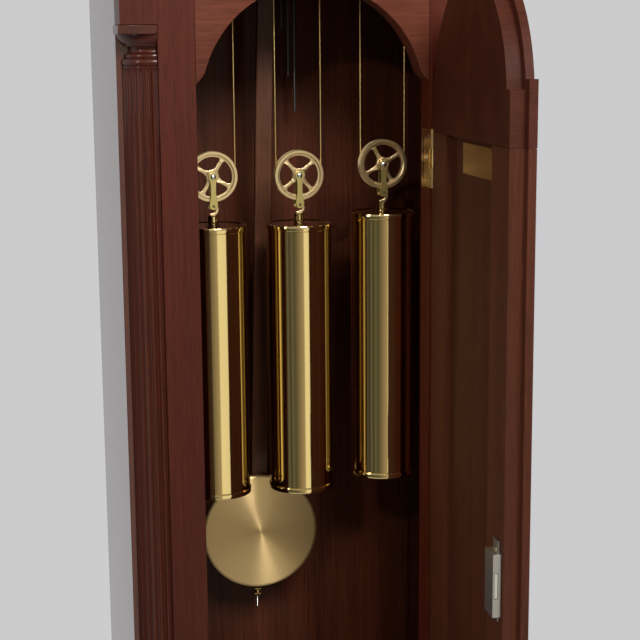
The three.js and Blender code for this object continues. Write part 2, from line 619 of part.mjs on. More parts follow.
const sight = breakArch(sightHalf, sightBottom, dialTop - 5, hoodArch);
const GLASS_THICKNESS = 2;
const GLASS_REBATE = 5;
const glassY = HOOD_FRONT + 8;
const glassShape = (grow) => breakArch(sightHalf + grow, sightBottom - grow, dialTop - 5 + grow,
  hoodArch + grow);
piece('hood_door_frame', cut(
  facing(hoodDoorShape, HOOD_FRONT, hoodBack, 20),
  facing(sight, HOOD_FRONT - 1, hoodBack + 1, 20),
  facing(glassShape(GLASS_REBATE), glassY - GAP, hoodBack + 1, 20),
), redMahogany);
piece('hood_door_glass', facing(glassShape(GLASS_REBATE - GAP), glassY, glassY + GLASS_THICKNESS, 30), glass);

const corniceProfile = [[GAP, -42], [4, -42], [5, -36], [9, -33], [9, -29], [14, -24], [18, -14], [25,
  -6], [28, -4],
  [28, 6], [GAP, 6]];
piece('cornice', mouldingRound(corniceProfile.map(([out, z]) => [out, HOOD_TOP + z]), hoodHalf,
  HOOD_FRONT, BACK),
  mahogany);

// Swan-neck pediment: two S-shaped arms that end in round scrolls, on one low board.
const PEDIMENT_HEIGHT = 128;
const SCROLL_RADIUS = 19;
const SCROLL_X = 62;
const pedimentBase = HOOD_TOP + GAP;
function swanNeck() {
  const half = hoodHalf - 6;
  const scrollZ = pedimentBase + PEDIMENT_HEIGHT - SCROLL_RADIUS;
  const arm = new THREE.Shape();
  arm.moveTo(0, pedimentBase);
  arm.lineTo(half, pedimentBase);
  arm.lineTo(half, pedimentBase + 16);
  arm.bezierCurveTo(half - 60, pedimentBase + 18, SCROLL_X + 50, pedimentBase + 50,
    SCROLL_X + SCROLL_RADIUS - 1, scrollZ);
  arm.lineTo(SCROLL_X, scrollZ + SCROLL_RADIUS - 1);
  arm.lineTo(SCROLL_X - 8, scrollZ - 8);
  arm.bezierCurveTo(SCROLL_X - 4, pedimentBase + 62, 42, pedimentBase + 40, 0, pedimentBase + 40);
  const y0 = HOOD_FRONT + 8;
  const right = facing(arm, y0, y0 + 18, 14);
  const scroll = rodAlongY(SCROLL_RADIUS, y0 - 4, y0 + 20, 20).translate([SCROLL_X, 0, scrollZ]);
  const whole = join(right, scroll);
  return join(whole, whole.mirror([1, 0, 0]), box(-16, 16, y0 - 2, y0 + 24, pedimentBase, pedimentBase + 62));
}
piece('pediment', swanNeck(), redMahogany);
const FINIAL = [[0, 0], [12, 0], [12, 5], [6, 9], [6, 14], [10, 18], [17, 30], [19, 42], [15, 54], [7,
  62], [5, 68],
  [8, 72], [6, 82], [3, 94], [0, 106]];
piece('finial', turned(FINIAL, 16).translate([0, HOOD_FRONT + 19, pedimentBase + 62 + GAP]), brass);

// ---------------------------------------------------------------- movement, dial and hands
const pendulumY = FRONT + PENDULUM_SET_BACK + BOB_THICKNESS + GAP + STICK_THICKNESS / 2;
const weightXs = [-WEIGHT_SPACING, 0, WEIGHT_SPACING];
const cableHoles = weightXs.flatMap((x) => [-1, 1].map((side) => post(4, seatUnder - 1, SEAT_TOP + 1, 12)
  .translate([x + side * GROOVE_RADIUS, WEIGHT_Y, 0])));
piece('seatboard', cut(
  box(-trunkHalf, trunkHalf, FRONT + 6, ROD_SET_BACK + FRONT - 12, seatUnder, SEAT_TOP),
  box(-34, 34, BACK_PLATE + 12, ROD_SET_BACK + FRONT - 11, seatUnder - 1, SEAT_TOP + 1),
  ...cableHoles,
), darkWood);

const plateLow = SEAT_TOP + GAP;
const plateHigh = SEAT_TOP + PLATE_HEIGHT;
const barrelZ = DIAL_CENTRE - 28;
const plateHalf = WEIGHT_SPACING + PLATE_MARGIN;
const pillarSpots = [[plateHalf - 8, plateHigh - 10], [WEIGHT_SPACING / 2, plateLow + 10]];
const pillars = pillarSpots.flatMap(([x, z]) => [-x, x].map((across) => rodAlongY(5, FRONT_PLATE + 1,
  BACK_PLATE + 1).translate([across, 0, z])));
const plate = (y) => box(-plateHalf, plateHalf, y, y + PLATE_THICKNESS, plateLow, plateHigh);
const ARBOR_RADIUS = 3.2;
const arborHoles = [...weightXs.map((x) => [x, barrelZ]), [0, DIAL_CENTRE], [0, PIVOT]].map(([x,
  z]) => rodAlongY(
  ARBOR_RADIUS + 0.4, FRONT_PLATE - 5, BACK_PLATE + 5).translate([x, 0, z]));
const cockTop = PIVOT + 14;
const cock = join(
  box(-18, 18, BACK_PLATE + 1, BACK_PLATE + 6, plateHigh - 30, cockTop),
  box(-18, -13, BACK_PLATE + 5, pendulumY + 8, cockTop - 10, cockTop),
  box(13, 18, BACK_PLATE + 5, pendulumY + 8, cockTop - 10, cockTop),
  box(-18, 18, pendulumY + 4, pendulumY + 8, cockTop - 10, cockTop),
  box(-18, 18, BACK_PLATE + 5, pendulumY + 8, cockTop - 2.5, cockTop),
);
const cockWindow = box(-7, 7, BACK_PLATE, BACK_PLATE + 10, plateHigh - 40, PIVOT + 8);
piece('movement_plates', join(cut(join(plate(FRONT_PLATE), plate(BACK_PLATE), ...pillars), ...arborHoles),
  cut(cock, cockWindow)), brass);

const DRUM_HALF = 17;
const drumProfile = [
  [0, -DRUM_HALF - 4], [27, -DRUM_HALF - 4], [27, -DRUM_HALF], [GROOVE_RADIUS - CABLE_RADIUS - GAP,
    -DRUM_HALF],
  [GROOVE_RADIUS - CABLE_RADIUS - GAP, DRUM_HALF], [31, DRUM_HALF], [31, DRUM_HALF + 4], [0, DRUM_HALF + 4],
];
const barrelNames = ['barrel_left', 'barrel_middle', 'barrel_right'];
barrelNames.forEach((name, i) => {
  const arbor = rodAlongY(ARBOR_RADIUS, DIAL_FACE - 3 - WEIGHT_Y,
    BACK_PLATE - WEIGHT_Y + PLATE_THICKNESS - 1);
  piece(name, join(wheel(drumProfile, 24), arbor).translate([weightXs[i], WEIGHT_Y, barrelZ]), brass);
});

const WINDING_HOLE = 6;
const dialHoles = [...weightXs.map((x) => [x, barrelZ]), [0, DIAL_CENTRE]].map(([x,
  z]) => rodAlongY(WINDING_HOLE,
  DIAL_FACE - 5, DIAL_FACE + 5).translate([x, 0, z]));
piece('dial_plate', cut(
  facing(breakArch(dialHalf, DIAL_CENTRE - dialHalf, dialTop, DIAL_ARCH), DIAL_FACE,
    DIAL_FACE + DIAL_THICKNESS, 20),
  ...dialHoles,
), silvered);

// Hands at ten past ten, drawn pointing up and turned clockwise as seen from the front.
function hand(length, width, y, bore) {
  const tip = outline([[-1.4, 5], [-width, length * 0.66], [0, length], [width, length * 0.66], [1.4, 5]]);
  return cut(join(facing(tip, y, y + 1.2), rodAlongY(8, y, y + 1.2, 16)), rodAlongY(bore, y - 1, y + 3, 16));
}
const HAND_LEVEL = { hour: DIAL_FACE - 6, minute: DIAL_FACE - 9 };
const pipe = (inner, outer, y0, y1) => cut(rodAlongY(outer, y0, y1, 16), rodAlongY(inner, y0 - 1, y1 + 1,
  16));
const minuteHand = join(hand(118, 3.6, HAND_LEVEL.minute, 1).rotate([0, 60, 0]),
  rodAlongY(2, HAND_LEVEL.minute - 2, WEIGHT_Y - DRUM_HALF - 8), rodAlongY(14, FRONT_PLATE + 10,
    FRONT_PLATE + 13, 20));
const hourHand = join(hand(78, 5.5, HAND_LEVEL.hour, 3).rotate([0, 305, 0]),
  pipe(2.4, 4.2, HAND_LEVEL.hour, FRONT_PLATE - 6));
piece('minute_hand', minuteHand.translate([0, 0, DIAL_CENTRE]), darkSteel);
piece('hour_hand', hourHand.translate([0, 0, DIAL_CENTRE]), darkSteel);

// Chime block on the back board, with its rods hanging down.
const rodY = FRONT + ROD_SET_BACK;
const blockLow = SEAT_TOP + 113;
const BLOCK_HEIGHT = 32;
const rods = ROD_TIPS.map((tip, i) => post(ROD_RADIUS, blockLow - tip, blockLow + 2, 8)
  .translate([i * ROD_PITCH, rodY, 0]));
piece('chime_block', join(
  box(-14, 14 + ROD_PITCH * (ROD_TIPS.length - 1), rodY - 9, INNER_BACK - GAP, blockLow,
    blockLow + BLOCK_HEIGHT),
  ...rods,
), darkSteel);

// ---------------------------------------------------------------- pendulum and crutch
const swinging = new THREE.Group();
swinging.position.set(0, 0, PIVOT);
swinging.rotation.y = THREE.MathUtils.degToRad(SWING);
clock.add(swinging);
const bobFace = FRONT + PENDULUM_SET_BACK;
const stickTop = -46;
const stickEnd = -PENDULUM_LENGTH - BOB_RADIUS - 2;
piece('pendulum_stick', join(
  box(-STICK_WIDTH / 2, STICK_WIDTH / 2, pendulumY - STICK_THICKNESS / 2, pendulumY + STICK_THICKNESS / 2,
    stickEnd, stickTop),
  box(-4, 4, pendulumY - 0.3, pendulumY + 0.3, stickTop - 2, 1),
  box(-9, 9, pendulumY - 2.5, pendulumY + 2.5, 0, 4),
  post(1, stickEnd - 22, stickEnd + 2, 8).translate([0, pendulumY, 0]),
), redMahogany, swinging);
const bobProfile = [[0, BOB_THICKNESS], [BOB_RADIUS, BOB_THICKNESS], [BOB_RADIUS, 5], [BOB_RADIUS - 4, 3.4],
  [30, 0.8], [0, 0]];
piece('pendulum_bob', wheel(bobProfile, 36).translate([0, bobFace, -PENDULUM_LENGTH]), satinBrass,
  swinging);
const nutProfile = [[1.35, 0], [7.5, 0], [7.5, 2.4], [4.5, 3], [4.5, 6], [7.5, 6.6], [7.5, 9], [1.35, 9],
  [1.35, 0]];
piece('rating_nut', turned(nutProfile, 24).translate([0, pendulumY, stickEnd - 13]), brass, swinging);

const crutchY = pendulumY - STICK_THICKNESS / 2 - 8;
const CRUTCH_LENGTH = 120;
piece('crutch', join(
  rodAlongY(2, FRONT_PLATE + 5, crutchY + 3, 12),
  box(-3, 3, crutchY, crutchY + 2, -CRUTCH_LENGTH, 3),
  box(-STICK_WIDTH / 2 - 3.5, STICK_WIDTH / 2 + 3.5, crutchY, crutchY + 2, -CRUTCH_LENGTH - 4,
    -CRUTCH_LENGTH + 2),
  box(-STICK_WIDTH / 2 - 3.5, -STICK_WIDTH / 2 - 0.7, crutchY, pendulumY + 4, -CRUTCH_LENGTH - 4,
    -CRUTCH_LENGTH + 2),
  box(STICK_WIDTH / 2 + 0.7, STICK_WIDTH / 2 + 3.5, crutchY, pendulumY + 4, -CRUTCH_LENGTH - 4,
    -CRUTCH_LENGTH + 2),
  box(-22, 22, FRONT_PLATE + 20, FRONT_PLATE + 24, -12, -4),
  rodAlongY(6, FRONT_PLATE + 20, FRONT_PLATE + 24, 12).translate([0, 0, -3]),
), steel, swinging);

// ---------------------------------------------------------------- weights, pulleys and cables
const CAP = 4.6;
const NECK_RADIUS = 4.6;
const NECK_HEIGHT = 9;
const weightProfile = [
  [0, -WEIGHT_LENGTH], [WEIGHT_RADIUS, -WEIGHT_LENGTH], [WEIGHT_RADIUS + 1, -WEIGHT_LENGTH + 1],
  [WEIGHT_RADIUS + 1, -WEIGHT_LENGTH + CAP], [WEIGHT_RADIUS, -WEIGHT_LENGTH + CAP + 0.5], [WEIGHT_RADIUS,
    -CAP - 0.5],
  [WEIGHT_RADIUS + 1, -CAP], [WEIGHT_RADIUS + 1, -1], [WEIGHT_RADIUS, 0], [NECK_RADIUS, 0],
  [NECK_RADIUS, NECK_HEIGHT], [0, NECK_HEIGHT],
];
// The hook is a flat C, open to the left, round the stirrup's cross pin.
const CROSS_PIN = 27;
function hookShape(centre) {
  const shape = new THREE.Shape();
  shape.absarc(0, centre, 4.6, Math.PI * 0.8, -Math.PI * 0.5, true);
  shape.lineTo(0, centre - 2.4);
  shape.absarc(0, centre, 2.4, -Math.PI * 0.5, Math.PI * 0.8, false);
  return shape;
}
const pinAboveTop = HANG - CROSS_PIN;
function weightBody() {
  const hook = facing(hookShape(pinAboveTop), -1.1, 1.1, 10);
  const stem = box(-1.6, 1.6, -1.1, 1.1, NECK_HEIGHT - 1, pinAboveTop - 3);
  return join(turned(weightProfile, 24), hook, stem);
}
const ARM_Y = PULLEY_WIDTH / 2 + 0.8;
const ARM_THICKNESS = 1.2;
const AXLE_RADIUS = 1.6;
function stirrupArm(y) {
  const arm = outline([[-2.4, 0], [-3.6, 2], [-3.4, 3], [0, 4], [3.4, 3], [3.6, 2], [2.4, 0], [2.4, -20],
    [3.85, -24], [3.85, -28], [0, -31], [-3.85, -28], [-3.85, -24], [-2.4, -20]]);
  return facing(arm, y, y + ARM_THICKNESS);
}
function stirrupBody() {
  return join(
    stirrupArm(-ARM_Y - ARM_THICKNESS), stirrupArm(ARM_Y),
    rodAlongY(AXLE_RADIUS, -ARM_Y - ARM_THICKNESS - 0.8, ARM_Y + ARM_THICKNESS + 0.8, 12),
    rodAlongY(1.5, -ARM_Y - ARM_THICKNESS - 0.6, ARM_Y + ARM_THICKNESS + 0.6, 12).translate([0, 0,
      -CROSS_PIN]),
  );
}
const RIM_INNER = 17.7;
const HUB_RADIUS = 6;
const SPOKE_WIDTH = 3.6;
function pulleyBody() {
  const half = PULLEY_WIDTH / 2;
  const seat = GROOVE_RADIUS - CABLE_RADIUS - GAP;
  const rim = wheel([[RIM_INNER, -2], [PULLEY_RADIUS, -half], [seat, -1], [seat, 1], [PULLEY_RADIUS, half],
    [RIM_INNER, 2], [RIM_INNER, -2]], 28);
  const spoke = box(-RIM_INNER - 1, RIM_INNER + 1, -1.5, 1.5, -SPOKE_WIDTH / 2, SPOKE_WIDTH / 2);
  const hub = rodAlongY(HUB_RADIUS, -half, half, 16);
  const bore = rodAlongY(AXLE_RADIUS + 0.3, -half - 1, half + 1, 12);
  return cut(join(rim, spoke, spoke.rotate([0, 90, 0]), hub), bore);
}
// The cable leaves the drum, passes under the pulley and comes back up to the seatboard.
const UNDER_STEPS = 12;
function cablePoints(x, pulleyZ) {
  const at = (dx, z) => new THREE.Vector3(x + dx, WEIGHT_Y, z);
  const under = Array.from({ length: UNDER_STEPS + 1 }, (_, k) => {
    const angle = Math.PI + (k * Math.PI) / UNDER_STEPS;
    return at(GROOVE_RADIUS * Math.cos(angle), pulleyZ + GROOVE_RADIUS * Math.sin(angle));
  });
  return [at(-GROOVE_RADIUS, barrelZ), ...under, at(GROOVE_RADIUS, SEAT_TOP - 2)];
}
function cableBody(x, pulleyZ) {
  const points = cablePoints(x, pulleyZ);
  const sides = 8;
  const positions = [];
  points.forEach((point, i) => {
    const before = points[Math.max(0, i - 1)];
    const after = points[Math.min(points.length - 1, i + 1)];
    const along = new THREE.Vector3().subVectors(after, before).normalize();
    const across = new THREE.Vector3(0, 1, 0);
    const third = new THREE.Vector3().crossVectors(along, across);
    for (let k = 0; k < sides; k += 1) {
      const angle = (2 * Math.PI * k) / sides;
      positions.push(...point.clone().addScaledVector(across, CABLE_RADIUS * Math.cos(angle))
        .addScaledVector(third, CABLE_RADIUS * Math.sin(angle)).toArray());
    }
  });
  const corners = [];
  for (let i = 0; i + 1 < points.length; i += 1) {
    for (let k = 0; k < sides; k += 1) {
      const [a, b] = [i * sides + k, i * sides + ((k + 1) % sides)];
      corners.push(a, b, b + sides, a, b + sides, a + sides);
    }
  }
  const last = (points.length - 1) * sides;
  for (let k = 1; k + 1 < sides; k += 1) {
    corners.push(0, k + 1, k, last, last + k, last + k + 1);
  }
  const geometry = new THREE.BufferGeometry();
  geometry.setAttribute('position', new THREE.Float32BufferAttribute(positions, 3));
  geometry.setIndex(corners);
  return solid(geometry);
}
['left', 'middle', 'right'].forEach((name, i) => {
  const x = weightXs[i];
  const z = PULLEY_CENTRE + PULLEY_LIFTS[i];
  piece(`weight_${name}`, weightBody().translate([x, WEIGHT_Y, z - HANG]), brass);
  piece(`stirrup_${name}`, stirrupBody().translate([x, WEIGHT_Y, z]), satinBrass);
  piece(`pulley_${name}`, pulleyBody().rotate([0, PULLEY_TURNS[i], 0]).translate([x, WEIGHT_Y, z]),
    satinBrass);
  piece(`cable_${name}`, cableBody(x, z), brass);
});

export default clock;
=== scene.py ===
# %% [markdown]
# A longcase clock, looked at close to its open trunk door. The frame holds every joint, size and
# place, so each piece here is measured from it. This first cell loads it.

# %% Load the frame
import json
import math

import bmesh
import bpy
from mathutils import Matrix, Vector


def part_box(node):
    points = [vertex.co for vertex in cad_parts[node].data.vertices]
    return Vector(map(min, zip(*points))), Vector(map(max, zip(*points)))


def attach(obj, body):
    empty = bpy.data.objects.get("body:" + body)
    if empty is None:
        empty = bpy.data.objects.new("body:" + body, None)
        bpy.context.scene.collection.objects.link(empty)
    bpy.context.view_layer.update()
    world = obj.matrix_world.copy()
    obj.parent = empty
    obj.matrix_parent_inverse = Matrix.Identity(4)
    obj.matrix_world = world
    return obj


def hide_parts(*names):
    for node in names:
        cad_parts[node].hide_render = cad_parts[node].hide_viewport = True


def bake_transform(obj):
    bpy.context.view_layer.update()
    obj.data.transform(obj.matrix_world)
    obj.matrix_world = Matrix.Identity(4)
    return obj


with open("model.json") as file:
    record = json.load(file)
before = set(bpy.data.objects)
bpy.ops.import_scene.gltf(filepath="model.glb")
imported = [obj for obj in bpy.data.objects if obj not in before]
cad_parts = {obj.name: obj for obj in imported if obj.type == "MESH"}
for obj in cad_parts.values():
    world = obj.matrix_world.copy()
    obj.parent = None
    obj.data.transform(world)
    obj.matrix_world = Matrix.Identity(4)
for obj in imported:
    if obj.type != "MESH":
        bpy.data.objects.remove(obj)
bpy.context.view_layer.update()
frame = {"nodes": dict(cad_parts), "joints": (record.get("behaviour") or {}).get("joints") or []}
MM = 0.001
joints = {joint["name"]: joint for joint in frame["joints"]}
nodes = frame["nodes"]

# %% [markdown]
# The camera stands a little left of the clock and above the pulleys, and looks slightly down. A long
# lens keeps the uprights nearly parallel. Yaw, pitch and roll make the three axes of the camera.

# %% Camera
CAMERA_PLACE = Vector((-0.339, -1.3809, 1.2983))
CAMERA_YAW, CAMERA_PITCH, CAMERA_ROLL = (math.radians(a) for a in (14.775, 10.53, -0.468))
CAMERA_LENS = 84.8


def camera_axes(yaw, pitch, roll):
    forward = Vector((math.sin(yaw) * math.cos(pitch), math.cos(yaw) * math.cos(pitch), -math.sin(pitch)))
    level = Vector((math.cos(yaw), -math.sin(yaw), 0))
    up = level.cross(forward)
    right = math.cos(roll) * level + math.sin(roll) * up
    return Matrix((right, right.cross(forward), -forward)).transposed()


camera = bpy.data.objects.new("camera", bpy.data.cameras.new("camera"))
bpy.context.scene.collection.objects.link(camera)
turned_camera = camera_axes(CAMERA_YAW, CAMERA_PITCH, CAMERA_ROLL).to_4x4()
camera.matrix_world = Matrix.Translation(CAMERA_PLACE) @ turned_camera
camera.data.lens = CAMERA_LENS
camera.data.clip_end = 50
bpy.context.scene.camera = camera

# %% [markdown]
# Polished brass shows what surrounds it, so the room matters as much as the lamps. The world is a
# simple room: pale walls behind the clock, a brighter upper half in front, and a darker lower half with
# upright bands of light. The weights mirror those bands as the long stripes that run down them.

# %% The room
WALL = (0.60, 0.60, 0.61)
UPPER_FRONT = (0.40, 0.385, 0.38)
BANDS = [(-180, WALL), (-100, WALL), (-86, (0.20, 0.19, 0.18)), (-66, (0.045, 0.04, 0.035)),
         (-57, (0.15, 0.145, 0.11)), (-50, (0.05, 0.047, 0.04)), (-43, (0.14, 0.145, 0.11)),
         (-33, (0.09, 0.09, 0.07)), (-25, (0.16, 0.14, 0.11)), (-12, (0.30, 0.255, 0.20)),
         (0, (0.42, 0.36, 0.28)), (4, (0.95, 0.92, 0.76)), (34, (0.90, 0.86, 0.72)), (42, (0.22, 0.20, 0.18)),
         (64, (0.10, 0.09, 0.085)), (86, (0.20, 0.19, 0.18)), (100, WALL), (180, WALL)]


def build_room():
    world = bpy.data.worlds.new("room")
    world.use_nodes = True
    tree = world.node_tree
    background = tree.nodes["Background"]

    def add(kind, **settings):
        node = tree.nodes.new(kind)
        for key, value in settings.items():
            setattr(node, key, value)
        return node

    axes = add("ShaderNodeSeparateXYZ")
    tree.links.new(add("ShaderNodeTexCoord").outputs["Generated"], axes.inputs[0])
    front = add("ShaderNodeMath", operation="MULTIPLY")
    front.inputs[1].default_value = -1
    tree.links.new(axes.outputs["Y"], front.inputs[0])
    bearing = add("ShaderNodeMath", operation="ARCTAN2")
    tree.links.new(axes.outputs["X"], bearing.inputs[0])
    tree.links.new(front.outputs[0], bearing.inputs[1])
    share = add("ShaderNodeMapRange")
    share.inputs["From Min"].default_value, share.inputs["From Max"].default_value = -math.pi, math.pi
    tree.links.new(bearing.outputs[0], share.inputs["Value"])

    def bands(stops):
        node = add("ShaderNodeValToRGB")
        elements = node.color_ramp.elements
        while len(elements) < len(stops):
            elements.new(0.5)
        for element, (angle, colour) in zip(elements, stops):
            element.position = (angle + 180) / 360
            element.color = (*colour, 1)
        tree.links.new(share.outputs["Result"], node.inputs["Fac"])
        return node.outputs["Color"]

    height = add("ShaderNodeMapRange", interpolation_type="SMOOTHSTEP")
    height.inputs["From Min"].default_value, height.inputs["From Max"].default_value = -0.06, 0.12
    tree.links.new(axes.outputs["Z"], height.inputs["Value"])
    mix = add("ShaderNodeMix", data_type="RGBA")
    tree.links.new(height.outputs["Result"], mix.inputs["Factor"])
    tree.links.new(bands(BANDS), mix.inputs[6])
    upper = [(-180, WALL), (-100, WALL), (-80, UPPER_FRONT), (80, UPPER_FRONT), (100, WALL), (180, WALL)]
    tree.links.new(bands(upper), mix.inputs[7])
    tree.links.new(mix.outputs[2], background.inputs["Color"])
    bpy.context.scene.world = world


build_room()
bpy.context.scene.view_settings.view_transform = "Standard"

# %% [markdown]
# The main light is a soft panel high in front. It reaches the back board through the opening, and the
# weights shade the part below them. A small lamp on the left draws the thin streak on the pendulum.

# %% Lights
def panel_light(name, place, target, size, power, colour=(1, 0.97, 0.93), spread=180):
    light = bpy.data.lights.new(name, "AREA")
    light.shape = "RECTANGLE"
    light.size, light.size_y = size
    light.energy = power
    light.color = colour
    light.spread = math.radians(spread)
    lamp = bpy.data.objects.new(name, light)
    bpy.context.scene.collection.objects.link(lamp)
    lamp.location = place
    lamp.rotation_euler = (Vector(target) - Vector(place)).to_track_quat("-Z", "Y").to_euler()
    return lamp


panel_light("front_panel", (0.15, -2.6, 2.75), (0, 0, 1.5), (1.1, 0.8), 7.2, spread=46)
panel_light("streak_lamp", (-0.80, -1.72, 1.89), (-0.03, 0, 0.8), (0.06, 0.06), 5.5, (1, 0.90, 0.66))
panel_light("left_panel", (-2.2, -1.0, 1.9), (0, 0, 1.1), (0.5, 1.8), 14)
panel_light("right_panel", (2.3, -1.6, 1.7), (0, 0, 1.1), (0.6, 1.8), 22)
panel_light("back_panel", (0.8, 2.6, 2.4), (0, 0, 1.1), (1.4, 1.4), 34)

# %% [markdown]
# A material is a small program of nodes. This helper starts one from a principled shader, sets the
# plain numbers on the shader's own sockets, and hands back a function that adds and links nodes.

# %% Material helpers
def start_material(name, **settings):
    material = bpy.data.materials.new(name)
    material.use_nodes = True
    tree = material.node_tree
    shader = tree.nodes["Principled BSDF"]
    for socket, value in settings.items():
        shader.inputs[socket.replace("_", " ")].default_value = value

    def add(kind, links=(), **values):
        node = tree.nodes.new(kind)
        for key, value in values.items():
            if key in node.inputs:
                node.inputs[key].default_value = value
            else:
                setattr(node, key, value)
        for socket, source in links:
            tree.links.new(source, node.inputs[socket])
        return node

    return material, tree, shader, add


def ramp(add, source, stops):
    node = add("ShaderNodeValToRGB", links=[("Fac", source)])
    elements = node.color_ramp.elements
    while len(elements) < len(stops):
        elements.new(0.5)
    for element, (place, colour) in zip(elements, stops):
        element.position = place
        element.color = (*colour, 1)
    return node.outputs["Color"]


def stretched_noise(add, coordinate, scale, detail=4.0, roughness=0.55, distortion=0.0):
    mapping = add("ShaderNodeMapping", links=[("Vector", coordinate)])
    mapping.inputs["Scale"].default_value = scale
    noise = add("ShaderNodeTexNoise", links=[("Vector", mapping.outputs["Vector"])])
    noise.inputs["Scale"].default_value = 1.0
    noise.inputs["Detail"].default_value = detail
    noise.inputs["Roughness"].default_value = roughness
    noise.inputs["Distortion"].default_value = distortion
    return noise.outputs["Fac"]


# %% [markdown]
# Mahogany has fine dark pores, soft fibres and broad ribbons of lighter and darker wood, all running
# along the board. One recipe makes them from noise stretched along the grain. Only the direction of
# the grain and the tone change from board to board: mostly the stain, but the lighter tone of the cross
# boards is partly painted sheen. The lacquer is a thin coat over it.

# %% Mahogany
UPRIGHT = (0, 0, 0)
ACROSS = (0, math.radians(90), 0)


def mahogany(name, grain, dark, light, roughness=0.42, coat=0.1, seed=0.0):
    material, tree, shader, add = start_material(name, Coat_Weight=coat, Coat_Roughness=0.07,
                                                 Specular_IOR_Level=0.12)
    coordinate = add("ShaderNodeTexCoord").outputs["Object"]
    turned = add("ShaderNodeMapping", links=[("Vector", coordinate)])
    turned.inputs["Rotation"].default_value = grain
    turned.inputs["Location"].default_value = (seed, seed * 0.7, seed * 1.3)
    along = turned.outputs["Vector"]
    ribbons = stretched_noise(add, along, (22, 22, 0.9), 3, 0.5, 0.3)
    fibres = stretched_noise(add, along, (330, 330, 6), 6, 0.62, 0.1)
    pores = stretched_noise(add, along, (1500, 1500, 42), 2, 0.5)
    tone = add("ShaderNodeMath", links=[(0, ribbons), (1, fibres)], operation="ADD").outputs[0]
    half = add("ShaderNodeMath", links=[(0, tone)], operation="MULTIPLY")
    half.inputs[1].default_value = 0.5
    middle = tuple((a + b) / 2 for a, b in zip(dark, light))
    colour = ramp(add, half.outputs[0], [(0.32, dark), (0.5, middle), (0.68, light)])
    pore_mask = ramp(add, pores, [(0.34, (0.45, 0.38, 0.34)), (0.44, (1, 1, 1))])
    stained = add("ShaderNodeMix", data_type="RGBA", blend_type="MULTIPLY")
    stained.inputs["Factor"].default_value = 0.75
    tree.links.new(colour, stained.inputs[6])
    tree.links.new(pore_mask, stained.inputs[7])
    tree.links.new(stained.outputs[2], shader.inputs["Base Color"])
    gloss = add("ShaderNodeMapRange", links=[("Value", fibres)])
    gloss.inputs["To Min"].default_value = roughness - 0.06
    gloss.inputs["To Max"].default_value = roughness + 0.08
    tree.links.new(gloss.outputs["Result"], shader.inputs["Roughness"])
    bump = add("ShaderNodeBump", links=[("Height", pores)])
    bump.inputs["Strength"].default_value = 0.12
    bump.inputs["Distance"].default_value = 0.0004
    tree.links.new(bump.outputs["Normal"], shader.inputs["Normal"])
    return material


DOOR_ANGLE = -math.radians(joints["trunk_door_hinge"]["range_deg"][0])
DARK_RED, LIGHT_RED = (0.044, 0.0066, 0.0030), (0.086, 0.0150, 0.0066)
wood_upright = mahogany("mahogany_upright", UPRIGHT, DARK_RED, LIGHT_RED)
# The cross boards get a lighter tone that is partly painted sheen, the light their lacquer catches.
wood_across = mahogany("mahogany_across", ACROSS, (0.058, 0.0125, 0.0065), (0.140, 0.040, 0.0225), seed=2.1)
wood_column = mahogany("mahogany_columns", UPRIGHT, (0.031, 0.0048, 0.0022),
                       (0.060, 0.0105, 0.0048), coat=0.4, seed=3.3)
wood_side = mahogany("mahogany_sides", UPRIGHT, DARK_RED, LIGHT_RED, coat=0.9, seed=4.7)
wood_rod = mahogany("mahogany_rod", UPRIGHT, (0.058, 0.0205, 0.0105), (0.110, 0.043, 0.0225), 0.45, seed=6.1)
wood_door = mahogany("mahogany_door", UPRIGHT, (0.050, 0.0125, 0.0055),
                     (0.100, 0.029, 0.0135), 0.5, 0.06, seed=7.3)
wood_door_across = mahogany("mahogany_door_across", (0, math.radians(90), math.pi / 2 - DOOR_ANGLE),
                            (0.034, 0.0072, 0.0034), (0.075, 0.018, 0.009), 0.5, 0.1, seed=9.2)
wood_panel = mahogany("mahogany_panel", UPRIGHT, (0.040, 0.0105, 0.0048),
                      (0.085, 0.0235, 0.0105), 0.55, 0.03, seed=11.4)
wood_back = mahogany("walnut_back", UPRIGHT, (0.027, 0.0058, 0.0022),
                     (0.106, 0.027, 0.0108), 0.5, 0.05, seed=13.0)
wood_seat = mahogany("seatboard_wood", ACROSS, (0.05, 0.026, 0.014), (0.17, 0.095, 0.055), 0.55, 0.0, seed=15.0)
wood_front_depth = mahogany("mahogany_mouldings", ACROSS, DARK_RED, LIGHT_RED, seed=17.0)

# %% [markdown]
# Brass comes in three finishes here. The weights are polished and lacquered, so they act as mirrors
# with only faint smears. The pulleys and stirrups are satin. The pendulum's disc is spun: fine rings
# left by the tool stretch each highlight into a bow tie, which the shader's anisotropy gives.

# %% Metals
def metal(name, colour, roughness, smear=0.03, scale=(90, 90, 9), scratch=0.0, **settings):
    material, tree, shader, add = start_material(name, Metallic=1.0, **settings)
    coordinate = add("ShaderNodeTexCoord").outputs["Object"]
    patches = stretched_noise(add, coordinate, scale, 5)
    tint = ramp(add, patches, [(0.3, tuple(c * 0.93 for c in colour)), (0.7, colour)])
    tree.links.new(tint, shader.inputs["Base Color"])
    rough = add("ShaderNodeMapRange", links=[("Value", patches)])
    rough.inputs["To Min"].default_value = max(0.02, roughness - smear)
    rough.inputs["To Max"].default_value = roughness + smear
    tree.links.new(rough.outputs["Result"], shader.inputs["Roughness"])
    if scratch:
        lines = stretched_noise(add, coordinate, (1400, 1400, 1400), 2)
        bump = add("ShaderNodeBump", links=[("Height", lines)])
        bump.inputs["Strength"].default_value = scratch
        bump.inputs["Distance"].default_value = 0.0001
        tree.links.new(bump.outputs["Normal"], shader.inputs["Normal"])
    return material


